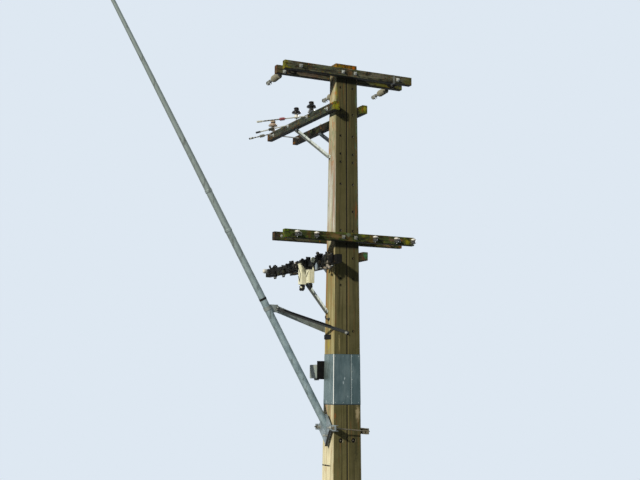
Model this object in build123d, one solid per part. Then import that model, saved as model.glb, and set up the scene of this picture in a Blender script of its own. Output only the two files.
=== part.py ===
from build123d import *
import math
import os

os.makedirs("parts", exist_ok=True)

# A twin concrete line pole: two tapered prestressed poles stand side by side and carry four pairs of
# timber crossarms, their insulators, a long raking streetlight arm and a sheet guard.
# +Z is up, +X runs along the front faces and +Y runs to the back. The origin is at ground level, on
# the joint between the two poles and in the middle of their depth.

# Concrete poles
pole_height = 10485.0
pole_top_width = 200.0
pole_foot_width = 295.0
pole_top_depth = 225.0
pole_foot_depth = 485.0
arris = 12.0
bolt_column = 115.0
bolt_hole_radius = 12.0
spare_hole_heights = (10075.0, 9244.0, 8936.0, 8797.0, 8422.0, 7637.0)
odd_pair_height = 6838.0
odd_left_heights = (9675.0, 6728.0)
odd_right_heights = (9620.0, 7965.0, 7180.0, 5975.0)
recess_height = 4210.0
recess_radius = 38.0
recess_depth = 40.0

# Timber crossarms
arm_thickness = 100.0
arm_depth = 140.0
arm_edge = 7.0
cross_arm_length = 2400.0
side_arm_length = 2800.0
service_arm_length = 2900.0
top_arm_height = 10320.0
top_arm_shift = 15.0
low_arm_height = 7518.0
low_front_shift = 35.0
low_back_shift = 25.0
side_arm_height = 9715.0
side_arm_reach = 2530.0
side_right_drop = 15.0
side_right_shift = -15.0
service_arm_height = 7135.0
service_right_rise = 80.0
service_right_shift = 160.0
service_arm_reach = 2470.0
seat_gap = 0.3
spacer_shift = 20.0
spacer_inset = 280.0

# Bolts, nuts and washers
bolt_radius = 10.0
nut_radius = 18.0
nut_height = 16.0
washer_size = 56.0
washer_thickness = 6.0
bolt_tail = 25.0

# Crossarm braces
brace_leg = 50.0
brace_thickness = 6.0
brace_inset = 50.0
brace_lug_length = 110.0
side_brace_rise = 745.0
side_brace_run = 1355.0
service_brace_rise = 775.0
service_brace_run = 1140.0

# Streetlight arm
light_slope = 60.3
light_foot_height = 4487.0
light_foot_radius = 62.0
light_lower_radius = 56.0
light_middle_radius = 54.0
light_tip_radius = 25.0
light_tube_wall = 5.0
light_root_length = 600.0
light_root_run_on = 155.0
light_lower_length = 3500.0
light_middle_length = 700.0
light_upper_length = 4350.0
light_bend_radius = 900.0
light_head_slope = 8.0
light_head_run = 450.0

# Streetlight arm's clamp and foot plate
clamp_left_height = 4415.0
clamp_right_height = 4360.0
clamp_channel_depth = 96.0
clamp_channel_flange = 45.0
clamp_channel_wall = 8.0
clamp_rod_radius = 9.0
clamp_rod_hole = 13.0
clamp_rod_clearance = 100.0
clamp_overhang = 185.0
foot_plate_thickness = 10.0
foot_plate_wing = 225.0
foot_plate_neck = 70.0
foot_plate_rise = 215.0
foot_plate_edge = 70.0
foot_plate_drop = 295.0
foot_plate_tip = 15.0
foot_plate_tip_shift = 60.0

# Ties from the streetlight arm to the poles
tie_height = 5945.0
tie_corner_rise = 75.0
tie_end = 30.0
tie_corner_clearance = 15.0
tie_thickness = 6.0
tie_shelf_start = 0.1
tie_shelf_share = 0.85
front_tie_depth = 50.0
back_tie_depth = 110.0
tie_collar_height = 6312.0
tie_lug_gap = 0.7
tie_start = 80.0
tie_lug_length = 115.0
tie_lug_depth = 125.0
collar_thickness = 3.0
collar_width = 60.0

# Luminaire
lamp_length = 640.0
lamp_width = 290.0
lamp_neck_width = 130.0
lamp_shoulder_place = 215.0
lamp_nose_place = 520.0
lamp_nose_width = 232.0
lamp_height = 110.0
lamp_nose_height = 48.0
lamp_edge = 10.0
lens_margin = 34.0
lens_start = 190.0
lens_thickness = 10.0
sensor_place = 150.0
sensor_radius = 42.0
sensor_height = 80.0
sensor_crown = 14.0

# Sheet guard, junction box and fixings on the left face
guard_low = 4780.0
guard_high = 5600.0
guard_thickness = 1.2
box_left = 370.0
box_width = 120.0
box_depth = 275.0
box_low = 5205.0
box_height = 225.0
box_corner = 12.0
box_plate_low = 5190.0
box_plate_height = 300.0
box_plate_width = 230.0
box_plate_thickness = 6.0
gland_radius = 13.0
gland_length = 32.0
gland_pitch = 60.0
strip_height = 3800.0
strip_width = 15.0
strip_thickness = 3.0
strip_front_inset = 80.0
saddle_low = 5845.0
saddle_height = 72.0
saddle_length = 225.0
saddle_thickness = 14.0

# Pin insulators on the left side arm
pin_positions = (716.0, 1340.0, 2388.0)
pin_stem_heights = (24.0, 56.0, 40.0)
pin_skirt_radii = (74.0, 38.0, 52.0)
pin_shed_radius = 86.0
pin_porcelain_height = 200.0
pin_collar_radius = 28.0
pin_collar_height = 8.0

# Low-voltage spools, each in a bent iron
spool_radius = 44.0
spool_height = 76.0
spool_bore = 9.0
iron_width = 38.0
iron_thickness = 5.0
iron_standoff = 8.0
iron_nose = 24.0
low_front_places = (-975.0, -626.0, 456.0, 863.0, 1190.0)
low_back_places = (-1050.0, -700.0, 700.0, 1040.0)

# Strain insulators: at the top they pull to the back, on the side arm they pull to the left
strain_places = (-1050.0, 1015.0)
strain_bolt_drop = 35.0
strain_middle_height = 10130.0
strain_middle_embedment = 90.0
strain_middle_link = 330.0
strain_slope = 0.06
strain_link = 40.0
strain_shed_radius = 60.0
strain_core_radius = 22.0
strain_sheds = 7
strain_body_length = 300.0
strain_clamp_link = 45.0
strain_clamp_length = 190.0
strain_clamp_width = 36.0
side_strain_places = (800.0, 1600.0, 2400.0)
side_strain_slopes = (0.22, 0.33, 0.32)
side_strain_links = (370.0, 230.0, 60.0)
side_strain_grips = (330.0, 160.0, 120.0)
side_strain_rise = 30.0
side_shed_radius = 30.0
side_core_radius = 14.0
side_sheds = 4
side_body_length = 120.0
grip_radius = 11.0
sleeve_radius = 17.0
sleeve_length = 90.0

# Fuse gear on the left service arm
fuse_box_places = (385.0, 700.0)
fuse_box_heights = (225.0, 360.0)
fuse_box_width = 110.0
fuse_box_depth = 100.0
fuse_box_drop = 340.0
fuse_box_edge = 10.0
fuse_box_strap = 34.0
fuse_holder_places = (-335.0, -200.0, 60.0, 185.0, 540.0, 905.0, 1230.0, 1560.0, 1930.0)
fuse_holder_highs = (95.0, 125.0, 125.0, 100.0, 115.0, 80.0, 110.0, 70.0, 95.0)
fuse_base_width = 100.0
fuse_base_depth = 46.0
fuse_base_low = 105.0
fuse_carrier_width = 78.0
fuse_carrier_depth = 42.0
fuse_carrier_margin = 38.0
fuse_edge = 9.0
fuse_gland_radius = 13.0
fuse_gland_length = 36.0
fuse_gland_spread = 26.0


upward = (Align.CENTER, Align.CENTER, Align.MIN)
nut_stack = washer_thickness + nut_height + bolt_tail


def pole_width(z):
    """The width of one pole at the height z."""
    return pole_foot_width + (pole_top_width - pole_foot_width) * z / pole_height


def half_depth(z):
    """Half of the depth of the poles at the height z."""
    return (pole_foot_depth + (pole_top_depth - pole_foot_depth) * z / pole_height) / 2


def rod(start, end, radius):
    """A round bar between two points."""
    start = Vector(*start)
    end = Vector(*end)
    return Plane(start, z_dir=end - start) * Cylinder(radius, (end - start).length, align=upward)


def block(low, high):
    """A rectangular solid between two corners."""
    size = [b - a for a, b in zip(low, high)]
    centre = [(a + b) / 2 for a, b in zip(low, high)]
    return Pos(*centre) * Box(*size)


def nut_end(seat, away):
    """A square washer, a hex nut and the bolt's tail, outside a seat."""
    place = Plane(seat, z_dir=away, x_dir=(0, 0, 1))
    washer = Box(washer_size, washer_size, washer_thickness, align=upward)
    nut = Pos(0, 0, washer_thickness) * extrude(RegularPolygon(nut_radius, 6), amount=nut_height)
    return place * (washer + nut + Cylinder(bolt_radius, nut_stack, align=upward))


def through_bolt(start, end):
    """A bolt between two seats, with a washer and a nut outside each seat."""
    start = Vector(*start)
    end = Vector(*end)
    return rod(start, end, bolt_radius) + nut_end(start, start - end) + nut_end(end, end - start)


def holes_along_y(xs, heights):
    """Round cutters from front to back for bolts."""
    cutters = Part()
    for x in xs:
        for z in heights:
            cutters += Pos(x, 0, z) * Rot(90, 0, 0) * Cylinder(bolt_hole_radius, 2 * pole_foot_depth)
    return cutters


def holes_along_x(ys, height):
    """Round cutters from side to side for bolts."""
    cutters = Part()
    for y in ys:
        cutters += Pos(0, y, height) * Rot(0, 90, 0) * Cylinder(bolt_hole_radius, 4 * pole_foot_width)
    return cutters


def turned(points):
    """A solid of revolution about Z from a closed half profile in (radius, height) pairs."""
    return revolve(make_face(Plane.XZ * Polyline(*points, close=True)), Axis.Z)


def save(name, shape):
    export_step(shape, "parts/" + name + ".step")


# The two poles, with their bolt holes from front to back and from side to side
side_right_height = side_arm_height - side_right_drop
side_bolt_height = side_arm_height - side_right_drop / 2
service_right_height = service_arm_height + service_right_rise
service_bolt_height = service_arm_height + service_right_rise / 2


def pole_outline(side, z):
    """One pole's section at the height z, with its four arrises cut off."""
    width = pole_width(z)
    depth = half_depth(z)
    points = (
        (arris, -depth),
        (width - arris, -depth),
        (width, -depth + arris),
        (width, depth - arris),
        (width - arris, depth),
        (arris, depth),
        (0, depth - arris),
        (0, -depth + arris),
    )
    return Pos(0, 0, z) * make_face(Polyline(*[(side * x, y) for x, y in points], close=True))


def pole(side):
    body = loft([pole_outline(side, 0), pole_outline(side, pole_height)], ruled=True)
    odd_heights = odd_right_heights if side > 0 else odd_left_heights
    heights = spare_hole_heights + (odd_pair_height,) + odd_heights
    heights += (top_arm_height, low_arm_height, recess_height)
    body -= holes_along_y([side * bolt_column], heights)
    for z in (side_bolt_height, service_bolt_height):
        body -= holes_along_x([0], z)
    recess = Rot(90, 0, 0) * Cylinder(recess_radius, 2 * recess_depth)
    return body - Pos(side * bolt_column, -half_depth(recess_height), recess_height) * recess


# The right pole has one more hole, blind, in its back
middle_back = half_depth(strain_middle_height)
blind_hole = Rot(90, 0, 0) * Cylinder(bolt_hole_radius, 2 * strain_middle_embedment)
save("pole_left", pole(-1))
save("pole_right", pole(1) - Pos(bolt_column, middle_back, strain_middle_height) * blind_hole)


# Timber crossarms
def timber(length):
    """A crossarm along X, with its long edges eased."""
    arm = Box(length, arm_thickness, arm_depth)
    return chamfer(arm.edges().filter_by(Axis.X), arm_edge)


def cross_arm_seat(height):
    """How far from the middle the inner face of a crossarm along X lies."""
    return half_depth(height - arm_depth / 2) + seat_gap


def side_arm_seat(height):
    """How far from the joint the inner face of a crossarm along Y lies."""
    return pole_width(height - arm_depth / 2) + seat_gap


def cross_bolt_places():
    """The places along X of the two king bolts and the two spacer bolts."""
    spread = cross_arm_length / 2 - spacer_inset
    return (-bolt_column, bolt_column, spacer_shift - spread, spacer_shift + spread)


def side_bolt_places(reach):
    """The places along Y of the king bolt and the far spacer bolt."""
    return (0, reach - spacer_inset)


def cross_arm(side, height, shift):
    """A crossarm along X, on the front (side -1) or the back (side 1) of the poles."""
    centre = (shift, side * (cross_arm_seat(height) + arm_thickness / 2), height)
    return Pos(*centre) * timber(cross_arm_length) - holes_along_y(cross_bolt_places(), [height])


def side_arm(side, height, bolt_height, reach, shift, length):
    """A crossarm along Y, on the left (side -1) or the right (side 1) of the poles."""
    centre = (side * (side_arm_seat(height) + arm_thickness / 2), reach + shift - length / 2, height)
    arm = Pos(*centre) * Rot(0, 0, 90) * timber(length)
    return arm - holes_along_x(side_bolt_places(reach), bolt_height)


def cross_arm_bolts(height):
    reach = cross_arm_seat(height) + arm_thickness
    return [through_bolt((x, -reach, height), (x, reach, height)) for x in cross_bolt_places()]


def side_arm_bolts(left_height, right_height, reach):
    left = side_arm_seat(left_height) + arm_thickness
    right = side_arm_seat(right_height) + arm_thickness
    height = (left_height + right_height) / 2
    return [through_bolt((-left, y, height), (right, y, height)) for y in side_bolt_places(reach)]


strain_bolt_height = top_arm_height - strain_bolt_drop
top_back_arm = cross_arm(1, top_arm_height, top_arm_shift)
top_back_arm -= holes_along_y(strain_places, [strain_bolt_height])
save("top_arm_front", cross_arm(-1, top_arm_height, top_arm_shift))
save("top_arm_back", top_back_arm)
save("low_arm_front", cross_arm(-1, low_arm_height, low_front_shift))
save("low_arm_back", cross_arm(1, low_arm_height, low_back_shift))

left_side_arm = side_arm(-1, side_arm_height, side_bolt_height, side_arm_reach, 0, side_arm_length)
left_side_arm -= holes_along_x(side_strain_places, side_arm_height + side_strain_rise)
save("side_arm_left", left_side_arm)
save(
    "side_arm_right",
    side_arm(1, side_right_height, side_bolt_height, side_arm_reach, side_right_shift, side_arm_length),
)
save(
    "service_arm_left",
    side_arm(-1, service_arm_height, service_bolt_height, service_arm_reach, 0, service_arm_length),
)
save(
    "service_arm_right",
    side_arm(
        1, service_right_height, service_bolt_height, service_arm_reach, service_right_shift, service_arm_length
    ),
)

save("low_arm_bolts", Compound(cross_arm_bolts(low_arm_height)))
save(
    "service_arm_bolts",
    Compound(side_arm_bolts(service_arm_height, service_right_height, service_arm_reach)),
)

# The top and side arms' bolts, with the eye bolts that hold the strain insulators
top_inner = cross_arm_seat(top_arm_height)
top_outer = top_inner + arm_thickness
top_bolts = cross_arm_bolts(top_arm_height)
for x in strain_places:
    top_bolts.append(through_bolt((x, top_inner, strain_bolt_height), (x, top_outer, strain_bolt_height)))
middle_face = half_depth(strain_middle_height - washer_size / 2) + seat_gap
middle_seat = Vector(bolt_column, middle_face, strain_middle_height)
middle_end = middle_seat - Vector(0, strain_middle_embedment, 0)
top_bolts.append(rod(middle_end, middle_seat, bolt_radius) + nut_end(middle_seat, (0, 1, 0)))
save("top_arm_bolts", Compound(top_bolts))

side_inner = side_arm_seat(side_arm_height)
side_outer = side_inner + arm_thickness
side_strain_height = side_arm_height + side_strain_rise
side_bolts = side_arm_bolts(side_arm_height, side_right_height, side_arm_reach)
for y in side_strain_places:
    side_bolts.append(through_bolt((-side_inner, y, side_strain_height), (-side_outer, y, side_strain_height)))
save("side_arm_bolts", Compound(side_bolts))


# Angle braces from the poles' outer faces out to the undersides of the side arms
def arm_brace(side, height, rise, run):
    top = height - arm_depth / 2
    foot_height = top - rise
    outer = side * (pole_width(foot_height - brace_leg) + seat_gap)
    low_end = Vector(outer, brace_inset, foot_height)
    high_end = Vector(outer, brace_inset + run, top)
    path = Plane(low_end, z_dir=high_end - low_end, x_dir=(side, 0, 0))
    length = (high_end - low_end).length
    web = Pos(brace_thickness / 2, 0, 0) * Box(brace_thickness, brace_leg, length, align=upward)
    flange_place = Pos(brace_leg / 2, (brace_thickness - brace_leg) / 2, 0)
    flange = flange_place * Box(brace_leg, brace_thickness, length, align=upward)
    # The bar is trimmed level under the arm, and a lug is welded on for the arm's bolt
    under_arm = block(
        (-cross_arm_length, -run, 0),
        (cross_arm_length, brace_inset + 2 * run, top - seat_gap),
    )
    lug_ends = sorted((outer, outer + side * brace_leg))
    lug = block(
        (lug_ends[0], high_end.Y - brace_lug_length, top - seat_gap - brace_thickness),
        (lug_ends[1], high_end.Y, top - seat_gap),
    )
    return (path * (web + flange) & under_arm) + lug


save("side_brace_left", arm_brace(-1, side_arm_height, side_brace_rise, side_brace_run))
save("side_brace_right", arm_brace(1, side_right_height, side_brace_rise, side_brace_run))
save("service_brace_left", arm_brace(-1, service_arm_height, service_brace_rise, service_brace_run))
save("service_brace_right", arm_brace(1, service_right_height, service_brace_rise, service_brace_run))


# Pin insulators: a knobbed top and a wide shed over a skirt, each on a short steel pin
def pin_insulator(skirt):
    """The outline runs up the skirt, out to the shed's rim, in to the neck and over the head."""
    shed = pin_shed_radius
    h = pin_porcelain_height
    return turned(
        (
            (0, 0),
            (skirt, 0),
            (skirt, 0.05 * h),
            (0.55 * skirt, 0.39 * h),
            (shed, 0.46 * h),
            (0.97 * shed, 0.52 * h),
            (0.62 * shed, 0.63 * h),
            (0.42 * shed, 0.71 * h),
            (0.38 * shed, 0.77 * h),
            (0.52 * shed, 0.83 * h),
            (0.48 * shed, 0.94 * h),
            (0.25 * shed, h),
            (0, h),
        )
    )


pin_axis = -(side_inner + arm_thickness / 2)
side_arm_top = side_arm_height + arm_depth / 2
pins = []
porcelains = []
for y, stem_height, skirt in zip(pin_positions, pin_stem_heights, pin_skirt_radii):
    stem = Cylinder(bolt_radius, stem_height, align=upward)
    collar = Cylinder(pin_collar_radius, pin_collar_height, align=upward)
    pins.append(Pos(pin_axis, y, side_arm_top) * (stem + collar))
    porcelains.append(Pos(pin_axis, y, side_arm_top + stem_height) * pin_insulator(skirt))
save("insulator_pins", Compound(pins))
save("pin_insulators", Compound(porcelains))


# Low-voltage spools on the outer faces of the low arms, each held by a pin in a bent iron
def spool():
    r = spool_radius
    h = spool_height
    body = turned(((0, 0), (0.9 * r, 0), (r, 0.24 * h), (0.62 * r, 0.5 * h), (r, 0.76 * h), (0.9 * r, h), (0, h)))
    return body - Cylinder(spool_bore, h, align=upward)


def spool_iron(side):
    """The iron about the spool's axis, with its back plate towards the arm."""
    outside = spool_height / 2 + seat_gap + iron_thickness
    back = spool_radius + iron_standoff
    back_ends = sorted((-side * back, -side * (back - iron_thickness)))
    iron = block((-iron_width / 2, back_ends[0], -outside), (iron_width / 2, back_ends[1], outside))
    nose_ends = sorted((-side * back, side * iron_nose))
    for low in (-outside, outside - iron_thickness):
        iron += block((-iron_width / 2, nose_ends[0], low), (iron_width / 2, nose_ends[1], low + iron_thickness))
    return iron + Pos(0, 0, -outside) * Cylinder(spool_bore - seat_gap, 2 * outside, align=upward)


low_outer = cross_arm_seat(low_arm_height) + arm_thickness
spool_axis = low_outer + seat_gap + iron_standoff + spool_radius
irons = []
for side, word, places in ((-1, "front", low_front_places), (1, "back", low_back_places)):
    spools = []
    for x in places:
        spools.append(Pos(x, side * spool_axis, low_arm_height - spool_height / 2) * spool())
        irons.append(Pos(x, side * spool_axis, low_arm_height) * spool_iron(side))
    save("low_spools_" + word, Compound(spools))
save("low_spool_irons", Compound(irons))


# Strain insulators, each a ribbed rod between two end caps
def ribbed_rod(length, core, shed, count):
    """A ribbed insulator along +Z. The end caps take a tenth of the length each."""
    cap = length / 10
    pitch = (length - 2 * cap) / count
    points = [(0, 0), (core, 0), (core, cap)]
    for i in range(count):
        foot = cap + i * pitch
        points += [(shed, foot + 0.55 * pitch), (core, foot + 0.8 * pitch)]
    points += [(core, length), (0, length)]
    return turned(points)


def strain_clamp():
    """A boat-shaped conductor clamp along +Z behind a short link."""
    link = Cylinder(bolt_radius, strain_clamp_link, align=upward)
    half = 2 * bolt_radius
    outline = make_face(
        Plane.YZ * Polyline(
            (-bolt_radius, strain_clamp_link),
            (bolt_radius, strain_clamp_link),
            (half, strain_clamp_link + strain_clamp_length / 4),
            (bolt_radius, strain_clamp_link + strain_clamp_length),
            (-bolt_radius / 2, strain_clamp_link + strain_clamp_length),
            (-1.6 * half, strain_clamp_link + strain_clamp_length / 3),
            close=True,
        )
    )
    return link + extrude(outline, amount=strain_clamp_width / 2, both=True)


steel = []
strings = []
for x, face, z, slope, link in (
    (strain_places[0], top_outer, strain_bolt_height, strain_slope, strain_link),
    (bolt_column, middle_face, strain_middle_height, 0, strain_middle_link),
    (strain_places[1], top_outer, strain_bolt_height, strain_slope, strain_link),
):
    seat = face + nut_stack + seat_gap + bolt_radius * slope
    start = Plane((x, seat, z), x_dir=(1, 0, 0), z_dir=(0, 1, -slope))
    body = ribbed_rod(strain_body_length, strain_core_radius, strain_shed_radius, strain_sheds)
    steel.append(start * Cylinder(bolt_radius, link, align=upward))
    strings.append(start * Pos(0, 0, link) * body)
    steel.append(start * Pos(0, 0, link + strain_body_length) * strain_clamp())
save("top_strain_strings", Compound(strings))

strings = []
for y, slope, link, grip in zip(side_strain_places, side_strain_slopes, side_strain_links, side_strain_grips):
    seat = side_outer + nut_stack + seat_gap + bolt_radius * slope
    start = Plane((-seat, y, side_strain_height), x_dir=(0, 1, 0), z_dir=(-1, 0, -slope))
    body = ribbed_rod(side_body_length, side_core_radius, side_shed_radius, side_sheds)
    steel.append(start * Cylinder(bolt_radius, link, align=upward))
    strings.append(start * Pos(0, 0, link) * body)
    tail = Cylinder(grip_radius, grip, align=upward)
    tail += Pos(0, 0, grip) * Cylinder(sleeve_radius, sleeve_length, align=upward)
    steel.append(start * Pos(0, 0, link + side_body_length) * tail)
save("side_strain_strings", Compound(strings))
save("strain_clamps", Compound(steel))

# The streetlight arm's clamp: a channel on each side of the poles and two rods that draw them together
clamp_low = clamp_right_height - clamp_channel_depth / 2
clamp_seat = pole_width(clamp_low) + seat_gap
clamp_face = clamp_seat + clamp_channel_flange
rod_place = half_depth(clamp_low) + clamp_rod_clearance + clamp_rod_radius


def clamp_channel(side, height):
    """A channel along Y with its back outwards."""
    reach = half_depth(clamp_low) + clamp_overhang
    low = height - clamp_channel_depth / 2
    high = height + clamp_channel_depth / 2
    beam = block((clamp_seat, -reach, low), (clamp_face, reach, high))
    beam -= block(
        (clamp_seat - clamp_channel_wall, -reach, low + clamp_channel_wall),
        (clamp_face - clamp_channel_wall, reach, high - clamp_channel_wall),
    )
    for y in (-rod_place, rod_place):
        beam -= Pos(clamp_face, y, height) * Rot(0, 90, 0) * Cylinder(clamp_rod_hole, clamp_channel_flange)
    return beam if side > 0 else mirror(beam, about=Plane.YZ)


save("clamp_channel_left", clamp_channel(-1, clamp_left_height))
save("clamp_channel_right", clamp_channel(1, clamp_right_height))

# The rods lean a little, so their washers stand off by the lean
rod_lean = (clamp_left_height - clamp_right_height) / (2 * clamp_face)
rod_seat = clamp_face + washer_size / 2 * rod_lean + seat_gap
rods = []
for y in (-rod_place, rod_place):
    rods.append(through_bolt((-rod_seat, y, clamp_left_height), (rod_seat, y, clamp_right_height)))
save("clamp_rods", Compound(rods))

# The foot plate on the left channel: a kite that is widest at the channel, with a pointed drop
plate_face = clamp_face + foot_plate_thickness
wing_high = clamp_left_height + foot_plate_edge / 2
wing_low = clamp_left_height - foot_plate_edge / 2
plate_outline = make_face(
    Polyline(
        (-foot_plate_neck, clamp_left_height + foot_plate_rise),
        (foot_plate_neck, clamp_left_height + foot_plate_rise),
        (foot_plate_wing, wing_high),
        (foot_plate_wing, wing_low),
        (foot_plate_tip - foot_plate_tip_shift, clamp_left_height - foot_plate_drop),
        (-foot_plate_tip - foot_plate_tip_shift, clamp_left_height - foot_plate_drop),
        (-foot_plate_wing, wing_low),
        (-foot_plate_wing, wing_high),
        close=True,
    )
)
plate = extrude(Plane.YZ * plate_outline, amount=foot_plate_thickness)
save("light_arm_foot", Pos(-plate_face, 0, 0) * plate)

# Streetlight arm: three tapered tubes, a bend and a short head tube in the plane y = 0
rake = math.radians(light_slope)
along = Vector(-math.cos(rake), 0, math.sin(rake))
foot = Vector(-plate_face, 0, light_foot_height)


def tapered_tube(start, length, low_radius, high_radius):
    outer = Cone(low_radius, high_radius, length, align=upward)
    inner = Cone(low_radius - light_tube_wall, high_radius - light_tube_wall, length, align=upward)
    return Plane(start, z_dir=along) * (outer - inner)


root_end = foot + along * light_root_length
middle_start = foot + along * light_lower_length
upper_start = middle_start + along * light_middle_length
bend_start = upper_start + along * light_upper_length
# The root is straight, and is cut upright where it meets the plate
root_start = foot - along * light_root_run_on
root = rod(root_start, root_end, light_foot_radius) - rod(root_start, root_end, light_foot_radius - light_tube_wall)
taper = tapered_tube(
    root_end, light_lower_length - light_root_length, light_foot_radius, light_lower_radius
)
left_of_plate = block(
    (middle_start.X - light_lower_length, -2 * light_foot_radius, 0),
    (-plate_face, 2 * light_foot_radius, bend_start.Z),
)
save("light_arm_lower", (root & left_of_plate) + taper)
save("light_arm_middle", tapered_tube(middle_start, light_middle_length, light_lower_radius, light_middle_radius))
save("light_arm_upper", tapered_tube(upper_start, light_upper_length, light_middle_radius, light_tip_radius))

turn = light_slope - light_head_slope
arc_centre = bend_start - Vector(math.sin(rake), 0, math.cos(rake)) * light_bend_radius


def on_bend(angle):
    """A point on the bend, counted in degrees from its start."""
    turned_slope = math.radians(light_slope - angle)
    return arc_centre + Vector(math.sin(turned_slope), 0, math.cos(turned_slope)) * light_bend_radius


head_slope = math.radians(light_head_slope)
head_direction = Vector(-math.cos(head_slope), 0, math.sin(head_slope))
bend_end = on_bend(turn)
head_end = bend_end + head_direction * light_head_run
bend_path = ThreePointArc(bend_start, on_bend(turn / 2), bend_end) + Line(bend_end, head_end)
ring = Circle(light_tip_radius) - Circle(light_tip_radius - light_tube_wall)
save("light_arm_head", sweep(Plane(bend_start, z_dir=along) * ring, path=bend_path))

# Luminaire: the plan outline and the side outline, each extruded, share the housing between them
lamp_up = Vector(math.sin(head_slope), 0, math.cos(head_slope))
lamp_place = Plane(head_end, x_dir=head_direction, z_dir=lamp_up)


def lamp_plan(margin, start):
    """The outline from above: a neck that widens to two long sides and a round nose."""
    neck = lamp_neck_width / 2 - margin
    half = lamp_width / 2 - margin
    tip = lamp_nose_width / 2 - margin
    nose = lamp_length - margin
    outline = Polyline(
        (lamp_nose_place, tip),
        (lamp_shoulder_place, half),
        (start, neck),
        (start, -neck),
        (lamp_shoulder_place, -half),
        (lamp_nose_place, -tip),
    )
    return make_face(outline + ThreePointArc((lamp_nose_place, -tip), (nose, 0), (lamp_nose_place, tip)))


side_outline = make_face(
    Plane.XZ * Polyline(
        (0, -lamp_height / 2),
        (lamp_shoulder_place, -lamp_height / 2),
        (lamp_length, lamp_height / 2 - lamp_nose_height),
        (lamp_length, lamp_height / 2 - lamp_edge),
        (lamp_nose_place, lamp_height / 2),
        (0, lamp_height / 2),
        close=True,
    )
)
housing = extrude(lamp_plan(0, 0), amount=lamp_height, both=True)
housing &= extrude(side_outline, amount=lamp_width, both=True)
lens_plan = extrude(lamp_plan(lens_margin, lens_start), amount=lamp_height, both=True)
pocket = Polyline(
    (lens_start, -lamp_height / 2 - lamp_edge),
    (lamp_shoulder_place, -lamp_height / 2 - lamp_edge),
    (lamp_length, lamp_height / 2 - lamp_nose_height - lamp_edge),
    (lamp_length, lamp_height / 2 - lamp_nose_height + lens_thickness),
    (lamp_shoulder_place, -lamp_height / 2 + lens_thickness),
    (lens_start, -lamp_height / 2 + lens_thickness),
    close=True,
)
pocket_solid = extrude(make_face(Plane.XZ * pocket), amount=lamp_width, both=True) & lens_plan
housing -= pocket_solid
save("luminaire_body", lamp_place * housing)
lens = Pos(0, 0, -seat_gap) * pocket_solid
save("luminaire_lens", lamp_place * lens)
sensor = turned(
    (
        (0, 0),
        (sensor_radius, 0),
        (sensor_radius, sensor_height - sensor_crown),
        (sensor_radius - sensor_crown, sensor_height),
        (0, sensor_height),
    )
)
save("luminaire_sensor", lamp_place * Pos(sensor_place, 0, lamp_height / 2) * sensor)


# The sheet guard wraps both poles
def guard_outline(z, grow):
    width = 2 * (pole_width(z) + grow)
    depth = 2 * (half_depth(z) + grow)
    return Pos(0, 0, z) * RectangleRounded(width, depth, arris)


guard_skin = seat_gap + guard_thickness
outer_wrap = loft([guard_outline(guard_low, guard_skin), guard_outline(guard_high, guard_skin)], ruled=True)
inner_wrap = loft([guard_outline(guard_low, seat_gap), guard_outline(guard_high, seat_gap)], ruled=True)
save("sheet_guard", outer_wrap - inner_wrap)

# A thin band on the tube carries a lug, and two ties run from it to the front and back faces
collar_axis = foot + along * ((tie_collar_height - foot.Z) / math.sin(rake))
lug_start = collar_axis.X + light_foot_radius / math.sin(rake)
bore = (Plane(collar_axis, z_dir=along) * Cylinder(light_foot_radius + seat_gap, 10 * collar_width))
band = Plane(collar_axis, z_dir=along) * Cylinder(light_foot_radius + collar_thickness, collar_width)
lug = block(
    (collar_axis.X, -tie_thickness, tie_collar_height - tie_lug_depth / 2),
    (lug_start + tie_lug_length, tie_thickness, tie_collar_height + tie_lug_depth / 2),
)
save("light_tie_collar", band + lug - bore)


def light_tie(side, depth, shelf):
    """A bent bar from the lug to the poles' corner and on along the face, with a shelf below it."""
    seat = half_depth(tie_height - depth) + seat_gap + tie_thickness / 2
    corner = Vector(-pole_width(tie_height) - tie_corner_clearance, side * seat, tie_height + tie_corner_rise)
    end = Vector(tie_end, side * seat, tie_height)
    # The bar leans as it drops, so it stands off the lug by its lean too
    reach = (corner - Vector(lug_start + tie_start, 0, tie_collar_height)).normalized()
    standoff = 1.5 * tie_thickness + tie_lug_gap + depth / 2 * abs(reach.Y * reach.Z)
    start = Vector(lug_start + tie_start, side * standoff, tie_collar_height)
    bar = Part()
    for a, b in ((start, corner), (corner, end)):
        length = (b - a).length
        place = Plane(a, z_dir=b - a, x_dir=(0, 0, 1))
        bar += place * Box(depth, tie_thickness, length, align=upward)
        if shelf and a is start:
            shelf_place = Pos((depth - tie_thickness) / 2, -side * shelf / 2, tie_shelf_start * length)
            bar += place * shelf_place * Box(tie_thickness, shelf, tie_shelf_share * length, align=upward)
    return bar


save("light_tie_front", light_tie(-1, front_tie_depth, front_tie_depth))
save("light_tie_back", light_tie(1, back_tie_depth, 0))

# Junction box behind the left pole, on a plate fixed through the sheet guard
plate_y = half_depth(box_plate_low) + guard_skin + seat_gap
save(
    "junction_bracket",
    block(
        (-box_left, plate_y, box_plate_low),
        (-box_left + box_plate_width, plate_y + box_plate_thickness, box_plate_low + box_plate_height),
    ),
)
box_y = plate_y + box_plate_thickness
box = block((-box_left, box_y, box_low), (-box_left + box_width, box_y + box_depth, box_low + box_height))
box = fillet(box.edges().filter_by(Axis.Y), box_corner)
for i in (-1, 0, 1):
    gland_place = Pos(-box_left + box_width / 2, box_y + box_depth / 2 + i * gland_pitch, box_low - gland_length)
    box += gland_place * Cylinder(gland_radius, gland_length + box_corner, align=upward)
save("junction_box", box)

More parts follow.
